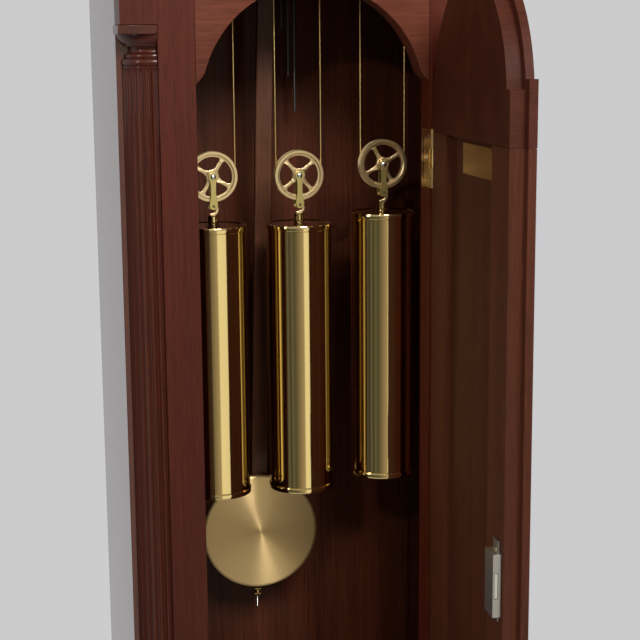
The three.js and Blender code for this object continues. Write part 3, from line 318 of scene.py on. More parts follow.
BRASS = (0.84, 0.66, 0.31)
polished = metal("brass_polished", BRASS, 0.085, 0.03)
satin = metal("brass_satin", (0.68, 0.52, 0.29), 0.30, 0.05, (400, 400, 400), 0.06)
pressed_brass = metal("brass_pressed", (0.52, 0.43, 0.17), 0.34, 0.05, (500, 500, 500), 0.15)
fitting_brass = metal("brass_fittings", (0.74, 0.53, 0.22), 0.24, 0.06, (200, 200, 200), 0.05)
cable_brass = metal("brass_cable", (0.78, 0.56, 0.22), 0.38, 0.05, (300, 300, 60))
bright_steel = metal("steel_bright", (0.56, 0.56, 0.55), 0.26, 0.06, (300, 300, 300), 0.08)
lock_steel = metal("steel_lock", (0.42, 0.41, 0.40), 0.38, 0.06, (300, 300, 300), 0.08)
blued_steel = metal("steel_blued", (0.035, 0.04, 0.06), 0.3, 0.05, (300, 300, 300))
rod_steel = metal("steel_rods", (0.15, 0.145, 0.145), 0.36, 0.05, (300, 300, 60))
silvering = metal("silvering", (0.60, 0.59, 0.54), 0.5, 0.05, (300, 300, 300), 0.05)
gilt = metal("gilt", (0.90, 0.66, 0.26), 0.28, 0.06, (300, 300, 300), 0.05)


def spun_brass(name, centre, axis):
    """Rings round one axis through the centre, and a highlight stretched across them."""
    material, tree, shader, add = start_material(name, Metallic=1.0, Anisotropic=0.9, Anisotropic_Rotation=0.25,
                                                 Roughness=0.36)
    coordinate = add("ShaderNodeTexCoord").outputs["Object"]
    moved = add("ShaderNodeVectorMath", links=[(0, coordinate)], operation="SUBTRACT")
    moved.inputs[1].default_value = centre
    flat = add("ShaderNodeVectorMath", links=[(0, moved.outputs[0])], operation="MULTIPLY")
    flat.inputs[1].default_value = (1, 0, 1)
    reach = add("ShaderNodeVectorMath", links=[(0, flat.outputs[0])], operation="LENGTH").outputs["Value"]
    spread = add("ShaderNodeCombineXYZ", links=[("X", reach)]).outputs["Vector"]
    rings = stretched_noise(add, spread, (2600, 1, 1), 3, 0.7)
    shades = ramp(add, rings, [(0.25, (0.56, 0.40, 0.19)), (0.75, (0.70, 0.51, 0.26))])
    tree.links.new(shades, shader.inputs["Base Color"])
    bump = add("ShaderNodeBump", links=[("Height", rings)])
    bump.inputs["Strength"].default_value = 0.10
    bump.inputs["Distance"].default_value = 0.0001
    tree.links.new(bump.outputs["Normal"], shader.inputs["Normal"])
    tangent = add("ShaderNodeTangent", direction_type="RADIAL", axis=axis)
    tree.links.new(tangent.outputs["Tangent"], shader.inputs["Tangent"])
    return material


def clear_glass():
    material, tree, shader, add = start_material("glass_clear", Transmission_Weight=1.0, Roughness=0.02,
                                                 IOR=1.45)
    coordinate = add("ShaderNodeTexCoord").outputs["Object"]
    waves = stretched_noise(add, coordinate, (14, 14, 14), 2)
    bump = add("ShaderNodeBump", links=[("Height", waves)])
    bump.inputs["Strength"].default_value = 0.02
    tree.links.new(bump.outputs["Normal"], shader.inputs["Normal"])
    return material


glass = clear_glass()
print("materials:", len(bpy.data.materials))

# %% [markdown]
# The floor is a round pale sheet with a faint mottle. It only has to catch the light and the case's
# shadow, so it is one face, and small enough for the room to show below the horizon.

# %% Floor
def floor_material():
    material, tree, shader, add = start_material("pale_floor", Roughness=0.6)
    coordinate = add("ShaderNodeTexCoord").outputs["Object"]
    mottle = stretched_noise(add, coordinate, (6, 6, 6), 4)
    tree.links.new(ramp(add, mottle, [(0.3, (0.50, 0.49, 0.48)), (0.7, (0.56, 0.55, 0.54))]),
                   shader.inputs["Base Color"])
    return material


FLOOR_RADIUS, FLOOR_SIDES = 1.55, 160
floor_mesh = bpy.data.meshes.new("floor")
rim_angles = [2 * math.pi * k / FLOOR_SIDES for k in range(FLOOR_SIDES)]
floor_mesh.from_pydata([(FLOOR_RADIUS * math.cos(a), FLOOR_RADIUS * math.sin(a), 0) for a in rim_angles], [],
                       [tuple(range(FLOOR_SIDES))])
floor = bpy.data.objects.new("floor", floor_mesh)
floor.data.materials.append(floor_material())
bpy.context.scene.collection.objects.link(floor)

# %% [markdown]
# Most pieces are made in one of a few ways: turned on a lathe, cut from a plate, drawn as a tube, or
# built as a block. Each way is a function here that returns vertices and faces, in metres. One more
# function makes the object from them, and says which body it rides on and which nodes it stands for.

# %% Makers
def finish_piece(name, vertices, faces, material, body, slot, stands_for=(), matrix=None, sharp=35):
    mesh = bpy.data.meshes.new(name)
    mesh.from_pydata([Vector(v) for v in vertices], [], faces)
    shaped = bmesh.new()
    shaped.from_mesh(mesh)
    bmesh.ops.remove_doubles(shaped, verts=shaped.verts, dist=1e-7)
    bmesh.ops.dissolve_degenerate(shaped, edges=shaped.edges, dist=1e-7)
    bmesh.ops.recalc_face_normals(shaped, faces=shaped.faces)
    shaped.to_mesh(mesh)
    shaped.free()
    if matrix is not None:
        mesh.transform(matrix)
    mesh.materials.append(material)
    for polygon in mesh.polygons:
        polygon.use_smooth = True
    mesh.set_sharp_from_angle(angle=math.radians(sharp))
    piece = bpy.data.objects.new(name, mesh)
    bpy.context.scene.collection.objects.link(piece)
    if body:
        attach(piece, body)
    if stands_for:
        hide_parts(*stands_for)
    return piece


def add_bevel(piece, width, segments=2, angle=35):
    bevel = piece.modifiers.new("bevel", "BEVEL")
    bevel.width = width
    bevel.segments = segments
    bevel.limit_method = "ANGLE"
    bevel.angle_limit = math.radians(angle)
    bevel.harden_normals = False
    return piece


def lathe(profile, segments=96, centre=(0, 0, 0), axis="Z"):
    """Vertices and faces of a turned solid. The profile lists radius and height."""
    vertices, faces = [], []
    count = len(profile)
    for i in range(segments):
        angle = 2 * math.pi * i / segments
        for radius, height in profile:
            across, other = radius * math.cos(angle), radius * math.sin(angle)
            point = (across, other, height) if axis == "Z" else (across, height, other)
            vertices.append(Vector(point) + Vector(centre))
    for i in range(segments):
        for k in range(count - 1):
            a, b = i * count + k, ((i + 1) % segments) * count + k
            faces.append((a, b, b + 1, a + 1))
    return vertices, faces


def plate(outlines, thickness, bevel, y_middle=0.0, resolution=2):
    """A flat piece in the X and Z plane: its outline first, then any holes."""
    curve = bpy.data.curves.new("plate", "CURVE")
    curve.dimensions = "2D"
    curve.fill_mode = "BOTH"
    curve.extrude = thickness / 2 - bevel
    curve.bevel_depth = bevel
    curve.bevel_resolution = resolution
    curve.offset = -bevel
    for points in outlines:
        spline = curve.splines.new("POLY")
        spline.points.add(len(points) - 1)
        spline.use_cyclic_u = True
        for point, (x, z) in zip(spline.points, points):
            point.co = (x, z, 0, 1)
    holder = bpy.data.objects.new("plate", curve)
    bpy.context.scene.collection.objects.link(holder)
    bpy.context.view_layer.update()
    mesh = bpy.data.meshes.new_from_object(holder.evaluated_get(bpy.context.evaluated_depsgraph_get()))
    vertices = [Vector((v.co.x, y_middle - v.co.z, v.co.y)) for v in mesh.vertices]
    faces = [tuple(p.vertices) for p in mesh.polygons]
    bpy.data.objects.remove(holder)
    bpy.data.curves.remove(curve)
    bpy.data.meshes.remove(mesh)
    return vertices, faces


def tube(path, radius, sides=12, radius_at=None):
    """A closed tube along a list of points, with rings kept square to the path."""
    vertices, faces = [], []
    previous = None
    for i, point in enumerate(path):
        before, after = path[max(0, i - 1)], path[min(len(path) - 1, i + 1)]
        along = (Vector(after) - Vector(before)).normalized()
        if previous is None:
            previous = along.orthogonal().normalized()
        across = (previous - along * previous.dot(along)).normalized()
        previous = across
        third = along.cross(across)
        for k in range(sides):
            angle = 2 * math.pi * k / sides
            r = radius_at(i, k) if radius_at else radius
            vertices.append(Vector(point) + r * (math.cos(angle) * across + math.sin(angle) * third))
    for i in range(len(path) - 1):
        for k in range(sides):
            a, b = i * sides + k, i * sides + (k + 1) % sides
            faces.append((a, b, b + sides, a + sides))
    last = (len(path) - 1) * sides
    faces.append(tuple(range(sides))[::-1])
    faces.append(tuple(range(last, last + sides)))
    return vertices, faces


def block(lo, hi):
    """A plain box, to be rounded or joined to others."""
    xs, ys, zs = zip(lo, hi)
    vertices = [(x, y, z) for x in xs for y in ys for z in zs]
    return vertices, [(0, 1, 3, 2), (4, 6, 7, 5), (0, 4, 5, 1), (2, 3, 7, 6), (0, 2, 6, 4), (1, 5, 7, 3)]


def together(*parts):
    vertices, faces = [], []
    for some_vertices, some_faces in parts:
        start = len(vertices)
        vertices += list(some_vertices)
        faces += [tuple(start + i for i in face) for face in some_faces]
    return vertices, faces


def moved(part, matrix):
    vertices, faces = part
    return [matrix @ Vector(v) for v in vertices], faces


def arc(centre, radius, start, end, steps):
    """Points of an arc, with angles in degrees."""
    angles = [math.radians(start + (end - start) * i / steps) for i in range(steps + 1)]
    return [(centre[0] + radius * math.cos(a), centre[1] + radius * math.sin(a)) for a in angles]


# %% [markdown]
# The boards of the case keep their own shapes from the frame. Real boards have eased edges that catch
# a thin line of light, so each one gets a weld, which closes the seams between its faces, and a small
# bevel.

# %% Case boards
def ease(node, width, material, segments=2, angle=35):
    piece = nodes[node]
    piece.data.materials.clear()
    piece.data.materials.append(material)
    weld = piece.modifiers.new("weld", "WELD")
    weld.merge_threshold = 1e-5
    add_bevel(piece, width, segments, angle)
    normals = piece.modifiers.new("normals", "WEIGHTED_NORMAL")
    normals.keep_sharp = False
    return piece


EASED = 0.6 * MM
BOARDS = {
    "plinth": wood_front_depth, "base_carcass": wood_side,
    "back_board": wood_back, "waist_moulding": wood_front_depth,
    "trunk_side_left": wood_side, "trunk_side_right": wood_side, "front_stile_left": wood_upright,
    "front_stile_right": wood_upright, "bottom_rail": wood_across, "seatboard": wood_seat,
    "hood_moulding": wood_front_depth, "hood_shell": wood_upright,
    "hood_front": wood_upright, "cornice": wood_front_depth,
    "base_panel": wood_panel, "pediment": wood_across,
    "door_head": wood_door_across, "door_bottom_rail": wood_door_across, "door_stile_free": wood_door,
    "door_stile_hinge": wood_door, "door_panel": wood_panel, "hood_door_frame": wood_upright,
}
for node, material in BOARDS.items():
    ease(node, EASED, material)
METAL_NODES = {
    "movement_plates": fitting_brass, "chime_block": rod_steel, "finial": gilt, "crutch": bright_steel,
    "minute_hand": blued_steel, "hour_hand": blued_steel, "dial_plate": silvering, "door_plate": fitting_brass,
    "lock_case": lock_steel, "lock_bolt": bright_steel, "lock_plug": fitting_brass,
    "barrel_left": fitting_brass, "barrel_middle": fitting_brass, "barrel_right": fitting_brass,
    "hinge_upper_frame_leaf": fitting_brass, "hinge_upper_door_leaf": fitting_brass,
    "hinge_lower_frame_leaf": fitting_brass, "hinge_lower_door_leaf": fitting_brass,
    "hood_door_glass": glass,
}
for node, material in METAL_NODES.items():
    ease(node, 0.15 * MM, material)
print("eased", len(BOARDS), "boards")

# %% [markdown]
# Each weight is a drawn brass shell with a cap rolled over each end. The caps stand a millimetre
# proud, and a fine groove runs where a cap meets the shell. It is turned from one profile, with small
# radii at the corners so that they glint.

# %% Weights
SHELL_RADIUS, CAP_RADIUS, CAP_BAND = 30 * MM, 31 * MM, 4.6 * MM
SHELL_LENGTH = 254 * MM
NECK_RADIUS, NECK_HEIGHT = 4.6 * MM, 8.8 * MM
SIDES = ("left", "middle", "right")


def weight_profile():
    """Radius and height below the top disc, from the bottom's middle to the neck's top."""
    soft, groove = 0.5 * MM, 0.35 * MM
    ring = CAP_RADIUS - 2.2 * MM
    low = -SHELL_LENGTH
    return [
        (0, low + 0.6 * MM), (ring, low + 0.6 * MM), (ring + soft, low), (CAP_RADIUS - soft, low),
        (CAP_RADIUS - 0.15 * MM, low + 0.15 * MM),
        (CAP_RADIUS, low + soft), (CAP_RADIUS, low + CAP_BAND - soft),
        (CAP_RADIUS - 0.2 * MM, low + CAP_BAND), (SHELL_RADIUS - groove, low + CAP_BAND),
        (SHELL_RADIUS - groove, low + CAP_BAND + groove), (SHELL_RADIUS, low + CAP_BAND + 2 * groove),
        (SHELL_RADIUS, -CAP_BAND - 2 * groove), (SHELL_RADIUS - groove, -CAP_BAND - groove),
        (SHELL_RADIUS - groove, -CAP_BAND), (CAP_RADIUS - 0.2 * MM, -CAP_BAND), (CAP_RADIUS, -CAP_BAND + soft),
        (CAP_RADIUS, -soft), (CAP_RADIUS - 0.15 * MM, -0.15 * MM), (CAP_RADIUS - soft, 0), (ring + soft, 0),
        (ring, -0.6 * MM), (7 * MM, -0.6 * MM), (6.6 * MM, -0.1 * MM), (NECK_RADIUS + 0.4 * MM, 0.1 * MM),
        (NECK_RADIUS, 0.6 * MM), (NECK_RADIUS, NECK_HEIGHT - 0.7 * MM), (NECK_RADIUS - 0.7 * MM, NECK_HEIGHT),
        (0, NECK_HEIGHT),
    ]


weights = {}
for side in SIDES:
    lo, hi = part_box(f"weight_{side}")
    axis = Vector(((lo.x + hi.x) / 2, (lo.y + hi.y) / 2, lo.z + SHELL_LENGTH))
    weights[side] = axis
    shell = lathe(weight_profile(), 128, axis)
    finish_piece(f"weight_shell_{side}", *shell, polished, f"weight_{side}_hanging", "brass",
                 [f"weight_{side}"])
    hook_centre = (0, 14.2 * MM)
    outer = arc(hook_centre, 5.3 * MM, 158, -48, 22)
    inner = arc(hook_centre, 2.9 * MM, -60, 150, 18)
    hook = [*outer, (1.7 * MM, 8.4 * MM), (-2.3 * MM, 8.4 * MM), (-2.9 * MM, 10.4 * MM), *inner]
    hook_plate = plate([hook], 2.2 * MM, 0.25 * MM, resolution=1)
    finish_piece(f"weight_hook_{side}", *moved(hook_plate, Matrix.Translation(axis)), satin,
                 f"weight_{side}_hanging", "satin_brass", sharp=20)
print("weights at", [tuple(round(c, 4) for c in w) for w in weights.values()])

# %% [markdown]
# A stirrup hangs from the pulley's axle: two pressed brass arms, round at the axle, waisted, and
# spade-shaped at the foot, where a cross pin takes the weight's hook. A steel rivet holds the arms together at the axle.

# %% Stirrups
ARM_THICKNESS = 1.2 * MM
ARM_MIDDLE = 4.9 * MM
CROSS_PIN_DROP = 27 * MM


def stirrup_outline():
    hub, waist, spade = 4.2 * MM, 2.45 * MM, 4.0 * MM
    right = arc((0, 0), hub, 90, -42, 14) + [(2.75 * MM, -5.2 * MM), (waist, -9 * MM), (waist, -14 * MM)]
    right += [(2.7 * MM, -18 * MM), (3.3 * MM, -21.5 * MM), (spade, -25.2 * MM), (3.9 * MM, -26.6 * MM)]
    right += [(2.9 * MM, -29.6 * MM), (0, -30.2 * MM)]
    return right + [(-x, z) for x, z in reversed(right[1:-1])]


pulleys = {}
for side in SIDES:
    lo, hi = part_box(f"pulley_{side}")
    centre = (lo + hi) / 2
    pulleys[side] = centre
    body = f"weight_{side}_hanging"
    arms = together(plate([stirrup_outline()], ARM_THICKNESS, 0.2 * MM, -ARM_MIDDLE, 1),
                    plate([stirrup_outline()], ARM_THICKNESS, 0.2 * MM, ARM_MIDDLE, 1))
    finish_piece(f"stirrup_arms_{side}", *moved(arms, Matrix.Translation(centre)), pressed_brass, body,
                 "satin_brass", [f"stirrup_{side}"], sharp=20)
    reach = ARM_MIDDLE + ARM_THICKNESS / 2
    rivet = [(0, -reach - 0.75 * MM), (1.1 * MM, -reach - 0.7 * MM),
             (2.3 * MM, -reach - 0.35 * MM), (2.6 * MM, -reach), (1.5 * MM, -reach), (1.5 * MM, reach), (2.6 * MM, reach), (2.3 * MM, reach + 0.35 * MM),
             (1.1 * MM, reach + 0.7 * MM), (0, reach + 0.75 * MM)]
    turned_rivet = moved(lathe(rivet, 32, axis="Y"), Matrix.Translation(centre))
    finish_piece(f"stirrup_rivet_{side}", *turned_rivet, bright_steel, body, "steel")
    pin = [(0, -reach), (1.1 * MM, -reach), (1.1 * MM, reach), (0, reach)]
    turned_pin = lathe(pin, 24, centre - Vector((0, 0, CROSS_PIN_DROP)), "Y")
    finish_piece(f"stirrup_pin_{side}", *turned_pin, pressed_brass, body, "satin_brass")

# %% [markdown]
# The pulley is a cast wheel turned and bored: a grooved rim, four spokes that flare into the hub and
# the rim, and a proud hub. The web is one plate with four windows, and the rim and hub are turned.

# %% Pulleys
RIM_OUTER, RIM_INNER, RIM_STEP, HUB = 23.2 * MM, 18.2 * MM, 20.1 * MM, 5.6 * MM
RIM_HALF, WEB = 3.5 * MM, 3 * MM
SPOKE_HALF = 1.7 * MM
SPOKE_ROOT = 1.5 * MM
PULLEY_ANGLES = {"left": 59, "middle": 42, "right": 29}


def pulley_window(turn):
    """One window between two spokes, with rounded corners."""
    outer_edge = math.degrees(math.asin((SPOKE_HALF + SPOKE_ROOT) / RIM_INNER))
    inner_edge = math.degrees(math.asin((SPOKE_HALF + SPOKE_ROOT) / (HUB + SPOKE_ROOT)))
    points = arc((0, 0), RIM_INNER, outer_edge, 90 - outer_edge, 14)
    points += [(SPOKE_HALF + 0.35 * SPOKE_ROOT, RIM_INNER - 0.9 * SPOKE_ROOT),
               (SPOKE_HALF, RIM_INNER - 2 * SPOKE_ROOT), (SPOKE_HALF, HUB + 2.2 * SPOKE_ROOT),
               (SPOKE_HALF + 0.35 * SPOKE_ROOT, HUB + 1.25 * SPOKE_ROOT)]
    points += arc((0, 0), HUB + 0.4 * SPOKE_ROOT, 90 - inner_edge, inner_edge, 6)
    points += [(z, x) for x, z in points[15:19]][::-1]
    c, s = math.cos(turn), math.sin(turn)
    return [(c * x - s * z, s * x + c * z) for x, z in points]


def rim_profile():
    seat = 20.4 * MM
    half = [(RIM_INNER - 0.2 * MM, 0.9 * MM), (RIM_INNER, 1.7 * MM), (RIM_STEP - 0.3 * MM, 1.9 * MM),
            (RIM_STEP, 2.2 * MM), (RIM_STEP, RIM_HALF - 0.3 * MM), (RIM_STEP + 0.3 * MM, RIM_HALF),
            (RIM_OUTER - 0.3 * MM, RIM_HALF), (RIM_OUTER, RIM_HALF - 0.3 * MM), (RIM_OUTER, RIM_HALF - 1 * MM),
            (seat + 0.7 * MM, 1.1 * MM), (seat + 0.15 * MM, 0.6 * MM), (seat, 0)]
    return half + [(r, -y) for r, y in reversed(half[:-1])] + [half[0]]


hub_profile = [(1.9 * MM, -RIM_HALF), (HUB - 0.4 * MM, -RIM_HALF), (HUB, -RIM_HALF + 0.4 * MM),
               (HUB, RIM_HALF - 0.4 * MM), (HUB - 0.4 * MM, RIM_HALF),
               (1.9 * MM, RIM_HALF), (1.9 * MM, -RIM_HALF)]
for side in SIDES:
    turn = math.radians(PULLEY_ANGLES[side])
    web_outline = arc((0, 0), RIM_INNER + 0.9 * MM, 0, 360, 72)[:-1]
    windows = [pulley_window(turn + k * math.pi / 2) for k in range(4)]
    hub_hole = arc((0, 0), HUB - 1.5 * MM, 0, 360, 32)[:-1]
    web = plate([web_outline, *windows, hub_hole], WEB, 0.2 * MM, resolution=1)
    wheel = together(web, lathe(rim_profile(), 112, axis="Y"), lathe(hub_profile, 40, axis="Y"))
    finish_piece(f"pulley_wheel_{side}", *moved(wheel, Matrix.Translation(pulleys[side])), satin,
                 f"pulley_{side}_wheel", "satin_brass", [f"pulley_{side}"], sharp=24)

# %% [markdown]
# The cables are fine twisted brass. A section with four lobes turns as it runs down, round the pulley
# and back up, which gives the slanting glints of real strands.

# %% Cables
GROOVE = 21.5 * MM
STRAND = 0.66 * MM
LAY_LENGTH = 7 * MM
SEAT_LO, SEAT_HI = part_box("seatboard")


def cable_path(centre, drum_z):
    points, step = [], 1.4 * MM
    steps = int((drum_z - centre.z) / step)
    points += [Vector((centre.x - GROOVE, centre.y, drum_z + (centre.z - drum_z) * i / steps))
               for i in range(steps)]
    points += [Vector((centre.x + x, centre.y, centre.z + z)) for x, z in arc((0, 0), GROOVE, 180, 360, 48)]
    top = SEAT_HI.z + 6 * MM
    steps = int((top - centre.z) / step)
    points += [Vector((centre.x + GROOVE, centre.y, centre.z + (top - centre.z) * i / steps))
               for i in range(1, steps + 1)]
    return points


def strand_radius(path):
    lengths = [0.0]
    for a, b in zip(path, path[1:]):
        lengths.append(lengths[-1] + (b - a).length)

    def radius(i, k):
        twist = 2 * math.pi * lengths[i] / LAY_LENGTH
        return STRAND * (0.90 + 0.10 * math.cos(4 * (2 * math.pi * k / 16) - twist))

    return radius


for side in SIDES:
    barrel_lo, barrel_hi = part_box(f"barrel_{side}")
    centre = pulleys[side]
    path = cable_path(centre, (barrel_lo.z + barrel_hi.z) / 2)
    made = tube(path, STRAND, 16, strand_radius(path))
    cable = finish_piece(f"cable_strand_{side}", *made, cable_brass, None, "brass", [f"cable_{side}"], sharp=60)
    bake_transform(cable)

# %% [markdown]
# The pendulum swings from a thin spring: a flat mahogany stick, a spun brass disc in front of it, and
# a nut on a threaded rod below that sets the rate. It hangs caught at one side of its swing, so each
# piece is made plumb and then turned about the suspension point.

# %% Pendulum
swing = joints["pendulum_swing"]
PIVOT = Vector(swing["pos_m"])
CAUGHT = -math.radians(sum(swing["range_deg"]) / 2)
TILT = Matrix.Translation(PIVOT) @ Matrix.Rotation(CAUGHT, 4, "Y") @ Matrix.Translation(-PIVOT)
PENDULUM_LENGTH = 953 * MM
BOB_RADIUS, BOB_THICKNESS = 58.6 * MM, 9 * MM
STICK_WIDTH, STICK_THICKNESS = 16.4 * MM, 7 * MM
bob_face = PIVOT.y - STICK_THICKNESS / 2 - 0.3 * MM - BOB_THICKNESS
bob_centre = Vector((PIVOT.x, bob_face, PIVOT.z - PENDULUM_LENGTH))
stick_end = PIVOT.z - PENDULUM_LENGTH - BOB_RADIUS - 2 * MM


def bob_profile():
    """Radius and depth behind the face: a very shallow dome inside a rolled rim."""
    dome = [(BOB_RADIUS * 0.99 * i / 22, 2.2 * MM * (i / 22) ** 2) for i in range(23)]
    rim = [(BOB_RADIUS, 2.9 * MM), (BOB_RADIUS, 5.4 * MM),
           (BOB_RADIUS - 1 * MM, BOB_THICKNESS), (0, BOB_THICKNESS)]
    return dome + rim


bob_spot = TILT @ bob_centre
spun = spun_brass("brass_spun", tuple(bob_spot), "Y")
finish_piece("pendulum_disc", *lathe(bob_profile(), 180, bob_centre, "Y"), spun, "pendulum", "satin_brass",
             ["pendulum_bob"], TILT, 50)
stick = block((-STICK_WIDTH / 2, PIVOT.y - STICK_THICKNESS / 2, stick_end + 9 * MM),
              (STICK_WIDTH / 2, PIVOT.y + STICK_THICKNESS / 2, PIVOT.z - 46 * MM))
stick_piece = finish_piece("pendulum_rod", *stick, wood_rod, "pendulum", "red_mahogany",
                           ["pendulum_stick"], TILT)
add_bevel(stick_piece, 1.2 * MM, 3)
ferrule = block((-STICK_WIDTH / 2 - 0.4 * MM, PIVOT.y - STICK_THICKNESS / 2 - 0.25 * MM, stick_end),
                (STICK_WIDTH / 2 + 0.4 * MM, PIVOT.y + STICK_THICKNESS / 2 + 0.4 * MM, stick_end + 9 * MM))
top_ferrule = block((-STICK_WIDTH / 2 - 0.4 * MM, PIVOT.y - STICK_THICKNESS / 2 - 0.4 * MM, PIVOT.z - 66 * MM),
                    (STICK_WIDTH / 2 + 0.4 * MM, PIVOT.y + STICK_THICKNESS / 2 + 0.4 * MM, PIVOT.z - 44 * MM))
chop = block((-9 * MM, PIVOT.y - 2.5 * MM, PIVOT.z), (9 * MM, PIVOT.y + 2.5 * MM, PIVOT.z + 4 * MM))
fittings = finish_piece("pendulum_ferrules", *together(ferrule, top_ferrule, chop), fitting_brass, "pendulum",
                        "brass", (), TILT)
add_bevel(fittings, 0.4 * MM)
strip = block((-4 * MM, PIVOT.y - 0.1 * MM, PIVOT.z - 46 * MM), (4 * MM, PIVOT.y + 0.1 * MM, PIVOT.z + 1 * MM))
finish_piece("suspension_spring", *strip, bright_steel, "pendulum", "steel", (), TILT)


def thread_profile(radius, low, high, pitch):
    turns = int((high - low) / pitch)
    points = [(0, low), (radius * 0.6, low)]
    for i in range(turns):
        points += [(radius, low + (i + 0.25) * pitch), (radius * 0.8, low + (i + 0.75) * pitch)]
    return points + [(radius * 0.8, high), (0, high)]


screw = lathe(thread_profile(1 * MM, stick_end - 22 * MM, stick_end + 1 * MM, 0.7 * MM), 24, (0, PIVOT.y, 0))
finish_piece("rating_screw", *screw, bright_steel, "pendulum", "steel", (), TILT)


def nut_part(low):
    """Two knurled flanges with a waist between them."""
    flange, waist = 4.5 * MM, 3 * MM
    profile = [(1.35 * MM, 0), (flange - 0.3 * MM, 0), (flange, 0.3 * MM), (flange, 1.5 * MM),
               (flange - 0.3 * MM, 1.8 * MM), (waist, 2.3 * MM), (waist, 4.9 * MM),
               (flange - 0.3 * MM, 5.4 * MM), (flange, 5.7 * MM), (flange, 6.9 * MM), (flange - 0.3 * MM, 7.2 * MM), (1.35 * MM, 7.2 * MM),
               (1.35 * MM, 0)]
    vertices, faces = lathe(profile, 96, (0, 0, 0))
    knurled = []
    for i, v in enumerate(vertices):
        reach = math.hypot(v.x, v.y)
        notch = 1 - 0.035 * (i // len(profile) % 2) if reach > flange - 0.2 * MM else 1
        knurled.append(Vector((v.x * notch, PIVOT.y + v.y * notch, low + v.z)))
    return knurled, faces


finish_piece("rating_knob", *nut_part(stick_end - 9 * MM), fitting_brass, "nut", "brass", ["rating_nut"], TILT)

# %% [markdown]
# The quarter columns stand in square recesses at the corners. Each has a square slab at the ends, a
# swelling ovolo under it, a neck, two rings, and a shaft with seven flutes. The turned parts are a
# quarter of a lathe form, closed by two flat sides that sit in the corner.

# %% Fluted quarter columns
SHAFT = 27 * MM
FLUTE_COUNT = 7
FLUTE_SINK = 1.9 * MM
COLUMN_END = [(25.5, 35), (26.6, 34.4), (27.3, 33.2), (27.5, 31.7), (27.3, 30.2), (26.6, 29), (24.4, 28.6),
              (24.6, 27.9), (25, 27), (25, 26), (24.6, 25), (23, 24.4), (21.6, 23.6), (21, 22), (21, 20),
              (21.8, 18.6), (25.2, 18), (25.4, 17.2), (27, 16), (28.8, 13.8), (30.1, 11.4), (30.7, 9.2), (30.7, 8)]


def quarter_turned(profile, steps=28):
    """A quarter of a turned form, with its flat sides along +X and -Y, and its ends closed."""
    rings, faces = [], []
    for i in range(steps + 1):
        angle = -math.pi / 2 * i / steps
        rings.append([Vector((r * math.cos(angle), r * math.sin(angle), z)) for r, z in profile])
    vertices = [v for ring in rings for v in ring]
    count = len(profile)
    for i in range(steps):
        for k in range(count - 1):
            a, b = i * count + k, (i + 1) * count + k
            faces.append((a, b, b + 1, a + 1))
    low, high = len(vertices), len(vertices) + 1
    vertices += [Vector((0, 0, profile[0][1])), Vector((0, 0, profile[-1][1]))]
    faces.append((low, *range(count), high)[::-1])
    faces.append((low, *range(steps * count, (steps + 1) * count), high))
    faces += [(low, i * count, (i + 1) * count) for i in range(steps)]
    faces += [(high, (i + 1) * count - 1, (i + 2) * count - 1) for i in range(steps)]
    return vertices, faces


def fluted_shaft(low, high):
    """Flutes that stop in round ends a little short of the rings."""
    per_flute, levels = 12, 7
    stop = 5 * MM
    heights = [low]
    heights += [low + 1.2 * MM + stop * (1 - math.cos(math.pi / 2 * k / levels)) for k in range(levels + 1)]
    sinks = [0] + [math.sin(math.pi / 2 * k / levels) for k in range(levels + 1)]
    heights += [high - (h - low) for h in reversed(heights)]
    sinks += list(reversed(sinks))
    vertices, faces = [], []
    total = FLUTE_COUNT * per_flute + 1
    for height, share in zip(heights, sinks):
        for i in range(total):
            along = (i / per_flute) % 1
            across = min(1.0, abs(along - 0.5) / 0.42)
            sink = FLUTE_SINK * share * math.sqrt(max(0.0, 1 - across * across))
            angle = -math.pi / 2 * i / (total - 1)
            reach = SHAFT - sink
            vertices.append(Vector((reach * math.cos(angle), reach * math.sin(angle), height)))
        vertices.append(Vector((0, 0, height)))
    row = total + 1
    for j in range(len(heights) - 1):
        for i in range(row):
            a, b = j * row + i, j * row + (i + 1) % row
            faces.append((a, b, b + row, a + row))
    return vertices, faces + [tuple(range(row)), tuple(range((len(heights) - 1) * row, len(heights) * row))]


def quarter_column(low, high, slab=8 * MM, side=33.5 * MM):
    top = quarter_turned([(r * MM, high - d * MM) for r, d in COLUMN_END])
    foot = quarter_turned([(r * MM, low + d * MM) for r, d in COLUMN_END])
    shaft = fluted_shaft(low + 34.8 * MM, high - 34.8 * MM)
    return together(top, foot, shaft), together(block((0, -side, high - slab), (side, 0, high)),
                                                block((0, -side, low), (side, 0, low + slab)))


MIRROR = Matrix.Scale(-1, 4, (1, 0, 0))
for side, flip in (("left", MIRROR), ("right", Matrix.Identity(4))):
    node = f"quarter_column_{side}"
    lo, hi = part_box(node)
    corner = Vector((min(abs(lo.x), abs(hi.x)), hi.y, 0))
    turned_part, slabs = quarter_column(lo.z, hi.z)
    place = flip @ Matrix.Translation(corner)
    finish_piece(f"fluted_column_{side}", *turned_part, wood_column, "case", "mahogany", [node], place, 40)
    slab_piece = finish_piece(f"column_slabs_{side}", *slabs, wood_column, "case", "mahogany", (), place)
    add_bevel(slab_piece, 0.8 * MM)

# %% [markdown]
# The rail over the trunk opening is cut to a round arch. At each foot the arch turns outward in a
# small reverse curve and meets the stile in a point, so the board is cut again here from its outline.

# %% Arch rail
RAIL_LO, RAIL_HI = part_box("arch_rail")
ARCH_RADIUS, CENTRE_DROP, CUSP_RISE = 101 * MM, 17 * MM, 31 * MM
ARCH_CENTRE_Z = RAIL_LO.z - CENTRE_DROP
CUSP_START = math.degrees(math.asin(CUSP_RISE / ARCH_RADIUS))
CUSP = [(97.6, 9.5), (99.6, 6), (102.2, 2.8)]


